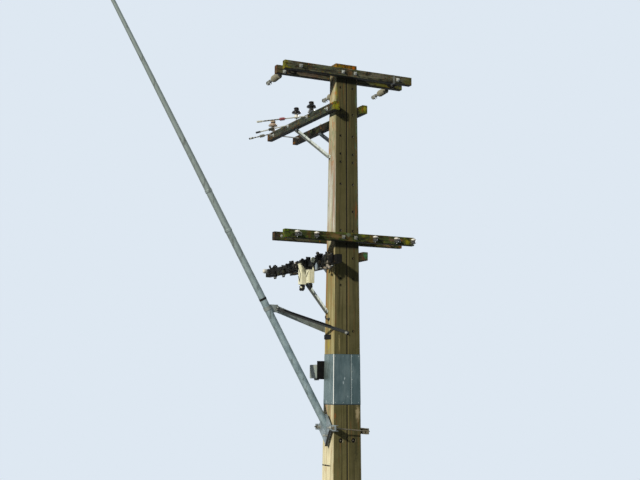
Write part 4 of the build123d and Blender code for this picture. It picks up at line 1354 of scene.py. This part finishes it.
# %% Arm fittings
EYES_X = (-0.935, 0.955)
EYE_TILTS = ((-0.045, 50), (0.05, 75))
EYE_HEIGHT = 10.285
EYE_RADIUS = 0.036
EYE_THICKNESS = 0.013
EYE_ROD_INSET = 0.04
EYE_ROD_REACH = 0.11
EYE_ROD_HEIGHT = 10.3
EYE_SQUASH = Matrix.Diagonal((1.7, 1.0, 1.0, 1))
BAND_X = 0.865
BAND_WIDTH = 0.04
BAND_SKIN = 0.003
PLATE_LENGTH = 0.44
PLATE_Y = 0.85
PLATE_SKIN = 0.005
PLATE_BOLTS = (0.66, 1.04)
PLATE_NUT = (0.012, 0.018, 0.01)
eyes = bmesh.new()
for x in EYES_X:
    for y, tilt in EYE_TILTS:
        tilted = at(x, y, EYE_HEIGHT) @ Matrix.Rotation(math.radians(tilt), 4, "X")
        ring(eyes, EYE_RADIUS, EYE_THICKNESS, tilted @ EYE_SQUASH, 24)
    rod_x = x - EYE_ROD_INSET
    rod(eyes, (rod_x, -EYE_ROD_REACH, EYE_ROD_HEIGHT), (rod_x, EYE_ROD_REACH, EYE_ROD_HEIGHT), 0.009)
dress("arm_eyes", eyes, black_paint)

band_form = bmesh.new()
wrap = bmesh.ops.create_cube(band_form, size=1.0)["verts"]
ends = [face for face in band_form.faces if abs(face.normal.x) > 0.5]
bmesh.ops.delete(band_form, geom=ends, context="FACES_ONLY")
top_low, top_high = [Vector(corner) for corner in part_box("top_arm_front")]
middle = (top_low + top_high) / 2
section = top_high - top_low
bmesh.ops.scale(band_form, vec=(BAND_WIDTH, section.y, section.z), verts=wrap)
lengthwise = [line for line in band_form.edges if abs(line.verts[0].co.x - line.verts[1].co.x) > 0.01]
ease(band_form, lengthwise, 0.007)
bmesh.ops.recalc_face_normals(band_form, faces=band_form.faces)
bmesh.ops.solidify(band_form, geom=band_form.faces[:], thickness=-BAND_SKIN)
bmesh.ops.translate(band_form, vec=(BAND_X, middle.y, middle.z), verts=band_form.verts)
dress("arm_band", band_form, dull_steel)

pin_plate = bmesh.new()
side_low, side_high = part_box("side_arm_left")
plate_x = (side_low[0] + side_high[0]) / 2 - 0.02
block(pin_plate, (0.05, PLATE_LENGTH, PLATE_SKIN), at(plate_x, PLATE_Y, side_high[2] + PLATE_SKIN / 2), 0.001)
for y in PLATE_BOLTS:
    nut_on_plate(pin_plate, aimed((plate_x, y, side_high[2] + PLATE_SKIN), UP), *PLATE_NUT)
dress("pin_plate", pin_plate, brace_steel)

# %% [markdown]
# Each porcelain spool keeps the wraps of its old tie wire round the neck. Its pin has a domed head
# above the iron and a split pin below, and the iron's own bolt has its nut behind the arm. The pin
# insulators have tie wire in their grooves too.

# %% Spools and pins
SPOOL_WRAPS = (-0.006, 0.0, 0.006)
SPOOL_NECK = 0.030
SPOOL_NUT = (0.014, 0.024, 0.014)
PIN_WRAPS = (0.148, 0.154)
PIN_NECK = 0.038
WIRE_RADIUS = 0.003
ties = bmesh.new()
heads = bmesh.new()
for word, side in (("front", -1), ("back", 1)):
    arm_low, arm_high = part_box("low_arm_" + word)
    inner_face = arm_high[1] if side < 0 else arm_low[1]
    for low, high in shells("low_spools_" + word):
        x, y, z = (low + high) / 2
        for lift in SPOOL_WRAPS:
            ring(ties, SPOOL_NECK, WIRE_RADIUS, at(x, y, z + lift), 20, 6)
        dome(heads, 0.015, 0.009, aimed((x, y, high.z + 0.005), UP))
        rod(heads, (x, y, low.z - 0.022), (x, y, low.z - 0.004), 0.0085)
        ring(heads, 0.008, 0.002, aimed((x, y, low.z - 0.017), (1, 0, 0)), 12, 6)
        nut_on_plate(heads, aimed((x, inner_face, z), (0, -side, 0)), *SPOOL_NUT)
for low, high in shells("pin_insulators"):
    x, y, z = (low + high) / 2
    for lift in PIN_WRAPS:
        ring(ties, PIN_NECK, WIRE_RADIUS, at(x, y, low.z + lift), 20, 6)
dress("tie_wires", ties, shaded_steel)
dress("spool_heads", heads, bolt_steel)

# %% [markdown]
# The pin insulators are porcelain bells on steel pins: a white skirt below, then a wide black shed, a
# neck with the groove for the tie wire, and a head. Each bell is turned in two pieces, so that the
# line between the glazes is a real edge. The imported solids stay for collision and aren't shown. The
# third one is cream and layered, so it gets one finish for both pieces.

# %% Pin insulators
WIDE_SKIRT = (
    (0, 0.0), (0.066, 0.0), (0.068, 0.006), (0.056, 0.030), (0.040, 0.058), (0.034, 0.080), (0, 0.080),
)
NARROW_SKIRT = (
    (0, 0.0), (0.042, 0.0), (0.044, 0.006), (0.036, 0.034), (0.030, 0.060), (0.030, 0.080), (0, 0.080),
)
PIN_HEAD = (
    (0, 0.080), (0.040, 0.080), (0.078, 0.086), (0.0855, 0.094), (0.085, 0.106), (0.074, 0.122),
    (0.054, 0.138), (0.038, 0.146), (0.036, 0.156), (0.046, 0.164), (0.050, 0.176), (0.044, 0.190),
    (0.024, 0.1985), (0, 0.1995),
)
pin_heads = bmesh.new()
pin_skirts = bmesh.new()
cream_pin = bmesh.new()
forms = ((pin_skirts, pin_heads), (pin_skirts, pin_heads), (cream_pin, cream_pin))
from_the_front = sorted(shells("pin_insulators"), key=lambda box: box[0].y)
skirts = (WIDE_SKIRT, NARROW_SKIRT, NARROW_SKIRT)
for (low, high), skirt, (skirt_form, head_form) in zip(from_the_front, skirts, forms):
    seat = at((low.x + high.x) / 2, (low.y + high.y) / 2, low.z)
    lathe(skirt_form, skirt, seat, 32)
    lathe(head_form, PIN_HEAD, seat, 32)
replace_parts(dress("pin_heads", pin_heads, black_porcelain), "pin_insulators")
dress("pin_skirts", pin_skirts, white_porcelain)
dress("cream_pin", cream_pin, cream_porcelain)

# %% [markdown]
# A strain insulator is a rod with thin sheds moulded round it, and a steel cap at each end. The sheds
# lean over each other with deep gaps between them, which go dark. One outline holds the whole stack.

# %% Strain insulators
SHEDS = 8
SHED_PITCH = 0.032
CORE = 0.022
BODY_LENGTH = 0.30
STRAIN_SLOPE = 0.06
CAP = ((0, 0), (0.020, 0), (0.028, 0.004), (0.028, 0.018), (0.022, 0.022), (0, 0.022))
stack = [(0, CORE), (CORE, 0.022)]
for i in range(SHEDS):
    root = 0.028 + i * SHED_PITCH
    rim = 0.0595 - 0.007 * (i % 2)
    stack += [
        (CORE, root), (rim * 0.8, root + 0.006), (rim, root + 0.013), (rim, root + 0.017),
        (rim * 0.7, root + 0.015), (CORE, root + 0.018),
    ]
stack += [(CORE, BODY_LENGTH - 0.02), (0, BODY_LENGTH - 0.02)]


def top_strings():
    """The box and the direction of each string. One is drawn level, and the others sag a little."""
    for low, high in shells("top_strain_strings"):
        level = 0 < (low.x + high.x) / 2 < 0.5
        yield low, high, Vector((0, 1, 0 if level else -STRAIN_SLOPE)).normalized()


sheds = bmesh.new()
caps = bmesh.new()
for low, high, heading in top_strings():
    start = (low + high) / 2 - heading * BODY_LENGTH / 2
    lathe(sheds, stack, aimed(start, heading), 32)
    for offset in (0.0, BODY_LENGTH - 0.022):
        lathe(caps, CAP, aimed(start + heading * offset, heading), 20)
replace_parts(dress("strain_sheds", sheds, beige_composite), "top_strain_strings")
dress("strain_caps", caps, shaded_steel)

# %% [markdown]
# A strain clamp has a groove along it. Two U-bolts stand over the groove, with a nut on each of their
# legs, and a keeper lies below them. A clevis pin with a disc at each side joins the clamp to its
# insulator.

# %% Strain clamp fittings
ACROSS = Vector((1, 0, 0))
U_RUNS = (0.105, 0.165)
U_HALF_WIDTH = 0.021
U_LEG = 0.052
U_FOOT_DROP = 0.045
U_NUT = (0.009, 0.008)
U_NUT_DROP = 0.032
CLEVIS_RUN = 0.022
PIN_REACH = 0.024
PIN_DISCS = (-0.024, 0.018)
DISC_THICKNESS = 0.006
KEEPER = (0.048, 0.034, 0.105)
KEEPER_RUN = 0.13
KEEPER_RISE = 0.012
COLLAR_RUN = 0.19
COLLAR = ((0, 0), (0.034, 0), (0.038, 0.010), (0.030, 0.020), (0, 0.020))
keepers = bmesh.new()
u_bolts = bmesh.new()
for low, high, heading in top_strings():
    centre = (low + high) / 2
    cap = centre + heading * ((high.y - centre.y) / heading.y)
    over = Vector((0, -heading.z, heading.y))
    for run in U_RUNS:
        crossing = cap + heading * run
        leg = crossing - ACROSS * U_HALF_WIDTH - over * U_FOOT_DROP
        bent_bar(u_bolts, leg, over, 0.005, (U_LEG, (180, U_HALF_WIDTH, tuple(heading)), U_LEG))
        for x in (-U_HALF_WIDTH, U_HALF_WIDTH):
            hex_nut(u_bolts, *U_NUT, aimed(crossing + ACROSS * x - over * U_NUT_DROP, -over))
    clevis = cap + heading * CLEVIS_RUN
    rod(u_bolts, clevis - ACROSS * PIN_REACH, clevis + ACROSS * PIN_REACH, 0.009)
    for x in PIN_DISCS:
        rod(u_bolts, clevis + ACROSS * x, clevis + ACROSS * (x + DISC_THICKNESS), 0.02)
    block(keepers, KEEPER, aimed(cap + heading * KEEPER_RUN + over * KEEPER_RISE, heading), 0.008)
    lathe(keepers, COLLAR, aimed(cap + heading * COLLAR_RUN, heading), 16)
dress("clamp_u_bolts", u_bolts, bolt_steel)
dress("clamp_keepers", keepers, dull_steel)

# %% [markdown]
# The fuse holders are moulded: each gets a grip to pull the carrier out, two ridges across its face, a
# latch on top, two screws, and a hex collar on each gland. The cream boxes get a lid with a drip edge
# and three ribs, and a row of glands with their connectors.

# %% Fuse gear
GLAND_DROP = 0.036
GLAND_INSET = 0.023
GLAND_OFFSET = 0.026
HOLDER_COLLAR = (0.018, 0.014)
FACE_INSET = 0.046
GRIP_STANDOFF = 0.014
GRIP_BEND = (90, 0.012, (0, 1, 0))
LATCH = (0.05, 0.012, 0.012)
HOLDER_RIDGE = (0.104, 0.008, 0.004)
SHORT_LID = 0.225
TALL_LID = 0.360
BOX_GLANDS = (-0.034, 0.0, 0.034)
BOX_GLAND_INSET = 0.05
PLUG = (0.022, 0.024, 0.05)
PLUG_DROP = 0.046
grips = bmesh.new()
collars = bmesh.new()
for low, high in shells("fuse_holders"):
    y = (low.y + high.y) / 2
    z = (low.z + GLAND_DROP + high.z) / 2
    tall = high.z - low.z - GLAND_DROP
    face_x = high.x - FACE_INSET
    handle = (GRIP_STANDOFF, GRIP_BEND, tall * 0.4 - 2 * GRIP_BEND[1], GRIP_BEND, GRIP_STANDOFF)
    bent_bar(grips, (low.x, y, z - tall * 0.2), LEFT, 0.006, handle)
    block(grips, LATCH, aimed((low.x + 0.045, y, high.z), UP), 0.003)
    for share in (-0.33, 0.33):
        block(grips, HOLDER_RIDGE, aimed((face_x, y, z + tall * share), LEFT), 0.0015)
    for offset in (-GLAND_OFFSET, GLAND_OFFSET):
        collar_place = (high.x - GLAND_INSET, y + offset, low.z + GLAND_DROP)
        hex_nut(collars, *HOLDER_COLLAR, aimed(collar_place, DOWN))
        dome(collars, 0.006, 0.004, aimed((face_x, y + offset * 1.5, z + tall * 0.42), LEFT))
dress("holder_grips", grips, black_plastic)
dress("holder_collars", collars, bolt_steel)

lids = bmesh.new()
box_glands = bmesh.new()
for low, high in shells("fuse_boxes"):
    y = (low.y + high.y) / 2
    wide = high.y - low.y
    tall = SHORT_LID if y < 0.6 else TALL_LID
    drip_place = (low.x - 0.004, y, low.z + tall - 0.006)
    block(lids, (wide - 0.008, tall - 0.01, 0.006), aimed((low.x - 0.003, y, low.z + tall / 2), LEFT), 0.002)
    block(lids, (wide + 0.008, 0.01, 0.02), aimed(drip_place, LEFT), 0.003)
    for share in (0.2, 0.5, 0.8):
        rib_place = (low.x - 0.007, y, low.z + tall * share)
        block(lids, (wide - 0.04, 0.006, 0.003), aimed(rib_place, LEFT), 0.001)
    for offset in BOX_GLANDS:
        x = low.x + BOX_GLAND_INSET
        rod(box_glands, (x, y + offset, low.z + 0.005), (x, y + offset, low.z - 0.028), 0.012)
        plug_place = at(x + offset * 0.4, y + offset, low.z - PLUG_DROP)
        block(box_glands, PLUG, plug_place, 0.004)
dress("fuse_box_lids", lids, cream_plastic)
dress("fuse_box_glands", box_glands, black_plastic)

# %% [markdown]
# In the photograph the holders are packed round with insulated connectors, lashed along the arm until
# almost no timber shows. A flat rail on the arm carries them. They are short capped rods, each deep
# enough to touch the rail. Their places are random but seeded, so that every run of the notebook gives
# the same tangle.

# %% Connectors along the arm
CONNECTORS = 52
GEAR_REACH = (-0.32, 2.24)
GEAR_HEIGHTS = (7.06, 7.20)
BOXES_REACH = (0.36, 0.84)
BOXES_TOP = 7.12
BOBBIN_AT = (-0.405, 0.235, 7.165)
dice = random.Random(11)
service_low, service_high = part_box("service_arm_left")
arm_face = service_low[0]
rail = bmesh.new()
block(rail, (0.05, 2.62, 0.100), at(arm_face - 0.032, 0.97, 7.135), 0.010)
dress("gear_rail", rail, black_plastic)


def connector(form, middle, direction, radius, length):
    """A capped rod with a waist, round its middle."""
    half = length / 2
    lower = (
        (0, -half), (radius * 0.7, -half), (radius, radius * 0.4 - half), (radius, -half * 0.3),
        (radius * 0.8, -half * 0.2),
    )
    upper = [(width, -height) for width, height in reversed(lower)]
    lathe(form, (*lower, *upper), aimed(middle, direction), 12)


black_ends = bmesh.new()
olive_ends = bmesh.new()
pale_ends = bmesh.new()
for i in range(CONNECTORS):
    form = pale_ends if i % 15 == 7 else olive_ends if i % 4 == 1 else black_ends
    x = arm_face - dice.uniform(0.055, 0.078)
    y = dice.uniform(*GEAR_REACH)
    z = dice.uniform(*GEAR_HEIGHTS)
    direction = (dice.uniform(-0.7, 0.7), dice.uniform(-1, 1), dice.uniform(-1, 1))
    over_bobbin = abs(y - BOBBIN_AT[1]) < 0.10
    over_boxes = BOXES_REACH[0] < y < BOXES_REACH[1] and z < BOXES_TOP
    if over_bobbin or over_boxes:
        continue
    small = 0.6 if form is pale_ends else 1.0
    radius = small * dice.uniform(0.018, 0.032)
    connector(form, (x, y, z), direction, radius, small * dice.uniform(0.07, 0.14))
for low, high in shells("fuse_boxes"):
    for i in range(9):
        middle = (arm_face - dice.uniform(0.03, 0.075), low.y + 0.014 * i, low.z - dice.uniform(0.035, 0.075))
        direction = (dice.uniform(-0.3, 0.3), dice.uniform(-0.3, 0.3), 1)
        connector(black_ends, middle, direction, dice.uniform(0.014, 0.022), dice.uniform(0.06, 0.09))
connector(pale_ends, (arm_face - 0.090, low.y + 0.02, low.z - 0.050), (0, 1, 0.3), 0.013, 0.050)
olive_plastic = moulded(
    "olive_plastic", (34, 40, 30), (70, 64, 54), (96, 88, 66), 0.5, 0.4, Specular_IOR_Level=DULL
)
dress("black_connectors", black_ends, black_plastic)
dress("olive_connectors", olive_ends, olive_plastic)
dress("pale_connectors", pale_ends, cream_plastic)

# %% [markdown]
# Four larger connectors have weathered to grey and stand out from the tangle, so they are placed one by
# one, and so are the thin strips that cross the lids of the two cream boxes.

# %% Weathered connectors and strips
weathered_caps = bmesh.new()
connector(weathered_caps, (-0.405, -0.245, 7.075), (0.2, 1, -0.4), 0.026, 0.110)
connector(weathered_caps, (-0.405, -0.290, 7.010), (-0.2, 0.7, 0.6), 0.024, 0.100)
connector(weathered_caps, (-0.400, -0.165, 6.995), (0, 1, 0.2), 0.020, 0.080)
connector(weathered_caps, (-0.400, 0.980, 7.150), (0, 0.5, 1), 0.022, 0.120)
grey_weathered = moulded("grey_weathered", (120, 112, 98), (156, 150, 140), (34, 32, 28), 0.6, 0.6)
dress("weathered_caps", weathered_caps, grey_weathered)

STRIP_PATHS = (
    ((-0.440, 0.796, 7.080), (-0.440, 0.716, 6.970), (-0.440, 0.740, 6.850)),
    ((-0.440, 0.798, 6.940), (-0.440, 0.730, 6.830)),
    ((-0.440, 0.486, 6.900), (-0.440, 0.398, 6.990)),
)
strips = bmesh.new()
for path in STRIP_PATHS:
    for start, end in zip(path, path[1:]):
        rod(strips, start, end, 0.0055, 12)
dress("box_strips", strips, black_plastic)

# %% [markdown]
# More fittings stand among the fuse gear: a small white insulator on top of the arm, another at the
# arm's far end, a pale bobbin seen end on, and a grey cover that hangs in front of a holder. All of
# them are turned shapes.

# %% Insulators among the fuse gear
END_KNOB_Y = 2.36
END_KNOB_Z = 7.165
KNOB = (
    (0, 0.012), (0.020, 0.012), (0.024, 0.03), (0.038, 0.040), (0.038, 0.052), (0.024, 0.062),
    (0.022, 0.078), (0.034, 0.090), (0.032, 0.106), (0.018, 0.120), (0, 0.122),
)
END_KNOB = ((0, 0), (0.030, 0), (0.038, 0.010), (0.036, 0.026), (0.022, 0.036), (0, 0.040))
KNOB_PIN = ((0, 0), (0.026, 0), (0.026, 0.006), (0.011, 0.008), (0.011, 0.016), (0, 0.016))
BOBBIN = (
    (0, 0), (0.034, 0), (0.042, 0.006), (0.042, 0.014), (0.030, 0.022), (0.030, 0.030), (0.044, 0.038),
    (0.047, 0.046), (0.044, 0.053), (0.036, 0.056), (0.008, 0.056), (0.006, 0.052), (0, 0.052),
)
COVER = (
    (0, 0), (0.018, 0), (0.026, 0.012), (0.026, 0.080), (0.020, 0.094), (0.012, 0.100), (0.012, 0.120),
    (0, 0.120),
)
knob_place = at(-0.281, 0.375, service_high[2])
knob = bmesh.new()
lathe(knob, KNOB, knob_place, 24)
lathe(knob, END_KNOB, aimed((-0.40, END_KNOB_Y, END_KNOB_Z), LEFT), 24)
dress("arm_knob", knob, white_porcelain)
knob_pin = bmesh.new()
lathe(knob_pin, KNOB_PIN, knob_place, 20)
rod(knob_pin, (-0.332, END_KNOB_Y, END_KNOB_Z), (-0.405, END_KNOB_Y, END_KNOB_Z), 0.042)
dress("arm_knob_pin", knob_pin, bolt_steel)

bobbin = bmesh.new()
green_glaze = finish("green_glaze", porcelain((206, 212, 172), (170, 172, 130)), Coat_Weight=0.4)
lathe(bobbin, BOBBIN, aimed(BOBBIN_AT, (-1, -0.6, 0)), 24)
dress("gear_bobbin", bobbin, green_glaze)

cover_form = bmesh.new()
grey_cover = moulded("grey_cover", (120, 136, 148), (150, 160, 166), (86, 88, 84), 0.3, 0.4)
lathe(cover_form, COVER, at(-0.446, 0.075, 6.98), 24)
dress("gear_cover", cover_form, grey_cover)

# %% [markdown]
# The lamp is out of the photograph, so its fittings follow what such lamps have: cooling ribs on top,
# a clamp with two bolts under the neck, a latch at the nose, a hinge pin at each side, and a locking
# ring below the sensor. They are laid out level in the lamp's own frame and turned with it by one
# matrix.

# %% Lamp fittings
LAMP_RISE = math.radians(8)
RIB_PITCH = 0.024
CLAMP_BOLTS = (0.045, 0.095)
HINGE_PIN_X = 0.2
HINGE_PIN_Z = -0.046
HINGE_PIN_REACH = (0.128, 0.148)
CLAMP_NUT = (0.008, 0.012, 0.006)
body_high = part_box("luminaire_body")[1]
tube_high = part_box("light_arm_head")[1]
lamp_x = body_high[0] - 0.055 * math.sin(LAMP_RISE)
lamp_z = tube_high[2] - 0.025 * math.cos(LAMP_RISE)
lamp_frame = at(lamp_x, 0, lamp_z) @ Matrix.Rotation(LAMP_RISE, 4, "Y") @ Matrix.Rotation(math.pi, 4, "Z")
ribs = bmesh.new()
for i in range(-4, 5):
    start = 0.235 + 0.012 * abs(i)
    end = 0.5 - 0.01 * abs(i)
    rib_place = lamp_frame @ at((start + end) / 2, i * RIB_PITCH, 0.0605)
    block(ribs, (end - start, 0.004, 0.013), rib_place, 0.001)
block(ribs, (0.05, 0.06, 0.008), lamp_frame @ at(0.61, 0, 0.0515), 0.003)
block(ribs, (0.10, 0.05, 0.012), lamp_frame @ at(0.07, 0, -0.060), 0.003)
dress("lamp_ribs", ribs, lamp_paint)

lamp_bolts = bmesh.new()
for x in CLAMP_BOLTS:
    nut_on_plate(lamp_bolts, lamp_frame @ aimed((x, 0, -0.066), DOWN), *CLAMP_NUT)
for side in (-1, 1):
    root, tip = [lamp_frame @ Vector((HINGE_PIN_X, side * reach, HINGE_PIN_Z)) for reach in HINGE_PIN_REACH]
    rod(lamp_bolts, root, tip, 0.007)
dress("lamp_bolts", lamp_bolts, bolt_steel)

lock = bmesh.new()
lock_outline = ((0.0425, 0), (0.052, 0), (0.052, 0.012), (0.047, 0.018), (0.0425, 0.018))
lathe(lock, lock_outline, lamp_frame @ at(0.150, 0, 0.055), 32, closed=True)
dress("sensor_ring", lock, black_plastic)

# %% [markdown]
# Lichen on the crown and along the arms is thick enough to roughen their outlines against the sky. Each
# tuft is a small icosphere, pressed flat and half sunk in what it grows on. Their places are random, but
# from a seed, and they crowd toward the ends of the arms.

# %% Lichen tufts
TUFT_SINK = 0.35
CROWN_TUFTS = 90
FACE_TUFTS = 40
ARM_TUFTS = 44
FACE_TUFT_HEIGHT = 10.45
FACE_TUFT_REACH = 0.18
FACE_TUFT_HEIGHTS = (10.41, 10.47)
RIM_INSET = 0.014


def tuft(form, where, size, up=UP):
    known = set(form.verts)
    bmesh.ops.create_icosphere(form, subdivisions=1, radius=1.0)
    flat = Matrix.Diagonal((size, size * dice.uniform(0.7, 1.3), size * 0.45, 1))
    turn = Matrix.Rotation(dice.uniform(0, math.pi), 4, "Z")
    set_down(form, known, aimed(where, up) @ turn @ flat)


def crusty(name, scale, dark, pale):
    """The finish of lichen: two tones in crumbs of one size."""

    def recipe(place):
        crust = noise(place, scale, 3.0)
        return {"Base Color": mix(smooth(crust, 0.4, 0.6), dark, pale), "Roughness": 0.95}

    return finish(name, recipe, Specular_IOR_Level=0.1)


crown_tufts = bmesh.new()
for i in range(CROWN_TUFTS):
    size = dice.uniform(0.006, 0.016)
    edge_x = TOP_WIDTH - size
    edge_y = TOP_HALF_DEPTH - size
    x = dice.uniform(-edge_x, edge_x)
    y = -edge_y if i % 2 else dice.uniform(-edge_y, edge_y)
    tuft(crown_tufts, (x, y, POLE_TOP - size * TUFT_SINK), size)
for i in range(FACE_TUFTS):
    size = dice.uniform(0.005, 0.012)
    x = dice.uniform(-FACE_TUFT_REACH, FACE_TUFT_REACH)
    z = dice.uniform(*FACE_TUFT_HEIGHTS)
    tuft(crown_tufts, (x, size * TUFT_SINK - front(FACE_TUFT_HEIGHT), z), size, FRONT)
yellow_lichen = crusty("yellow_lichen", 55, (78, 66, 4), (160, 104, 6))
dress("crown_tufts", crown_tufts, yellow_lichen)

arm_tufts = bmesh.new()
for node in ("low_arm_front", "low_arm_back", "top_arm_front", "side_arm_left"):
    low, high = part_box(node)
    axis = long_axis(low, high)
    rim = low[1 - axis] + RIM_INSET
    for i in range(ARM_TUFTS):
        size = dice.uniform(0.005, 0.013)
        share = dice.betavariate(0.6, 0.8)
        where = [0, 0, high[2] - size * TUFT_SINK]
        where[axis] = low[axis] + 0.02 + share * (high[axis] - low[axis] - 0.04)
        where[1 - axis] = rim if i % 2 else dice.uniform(rim, high[1 - axis] - RIM_INSET)
        tuft(arm_tufts, where, size)
green_lichen = crusty("green_lichen", 40, (44, 50, 16), (104, 106, 26))
dress("arm_tufts", arm_tufts, green_lichen)

# %% [markdown]
# The stage is a pale round floor and a pale sky. The floor is small enough that the street camera sees
# past it, so no horizon cuts the picture. Floor and sky show their full pale tone to the camera, in
# reflections and through the lens. To all other light the floor is darker, because a street throws
# little back up, and the sky is a dim and slightly blue fill. One sun comes over the camera's left
# shoulder. A soft weak one from behind lights only the two faces that the camera can't see.

# %% Stage and light
FLOOR_RADIUS = 9.0
SKY_TONE = (222, 232, 242)
FILL_TONE = (214, 226, 244)
FILL_STRENGTH = 0.11
SUN_STRENGTH = 3.82
SUN_TONE = (255, 247, 232)
SUN_HEADING = Vector((0.776, 0.447, -0.443))
BACK_STRENGTH = 1.3
BACK_HEADING = Vector((-0.70, -0.62, -0.36))


def seen(wire):
    """1 for what the camera sees straight, in a reflection or through glass, and 0 for the rest."""
    kinds = ("Is Camera Ray", "Is Glossy Ray", "Is Transmission Ray")
    direct, mirrored, through = [wire.node("LightPath", None, None, kind) for kind in kinds]
    return wire.math("MINIMUM", direct + mirrored + through, 1.0)


def pale_floor(place):
    return {"Base Color": mix(seen(place), (178, 180, 180), (244, 245, 246)), "Roughness": 0.95}


form = bmesh.new()
bmesh.ops.create_circle(form, cap_ends=True, radius=FLOOR_RADIUS, segments=128)
floor_mesh = bpy.data.meshes.new("floor")
form.to_mesh(floor_mesh)
form.free()
floor_mesh.materials.append(finish("pale_floor", pale_floor))
floor = bpy.data.objects.new("floor", floor_mesh)
bpy.context.scene.collection.objects.link(floor)
floor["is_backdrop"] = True

bpy.context.scene.view_settings.view_transform = "Standard"
world = bpy.data.worlds.new("studio")
bpy.context.scene.world = world
world.use_nodes = True
background = world.node_tree.nodes["Background"]
sky = seen(Wire(world.node_tree))
strength = FILL_STRENGTH + sky * (1 - FILL_STRENGTH)
world.node_tree.links.new(mix(sky, FILL_TONE, SKY_TONE).socket, background.inputs["Color"])
world.node_tree.links.new(strength.socket, background.inputs["Strength"])


def add_sun(name, heading, strength, degrees, colour=(1, 1, 1)):
    data = bpy.data.lights.new(name, "SUN")
    data.energy = strength
    data.color = colour
    data.angle = math.radians(degrees)
    light = bpy.data.objects.new(name, data)
    bpy.context.scene.collection.objects.link(light)
    light.rotation_euler = heading.to_track_quat("-Z", "Y").to_euler()


add_sun("key", SUN_HEADING, SUN_STRENGTH, 3.5, tint(*SUN_TONE))
add_sun("back", BACK_HEADING, BACK_STRENGTH, 25)
print("sun from the left at", round(math.degrees(math.asin(-SUN_HEADING.normalized().z))), "degrees")

# %% [markdown]
# The last cell writes the box of the imported solids beside the box of all that shows, so that the two
# can be compared, and then closes the scene.

# %% Box of all that shows
low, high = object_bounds()
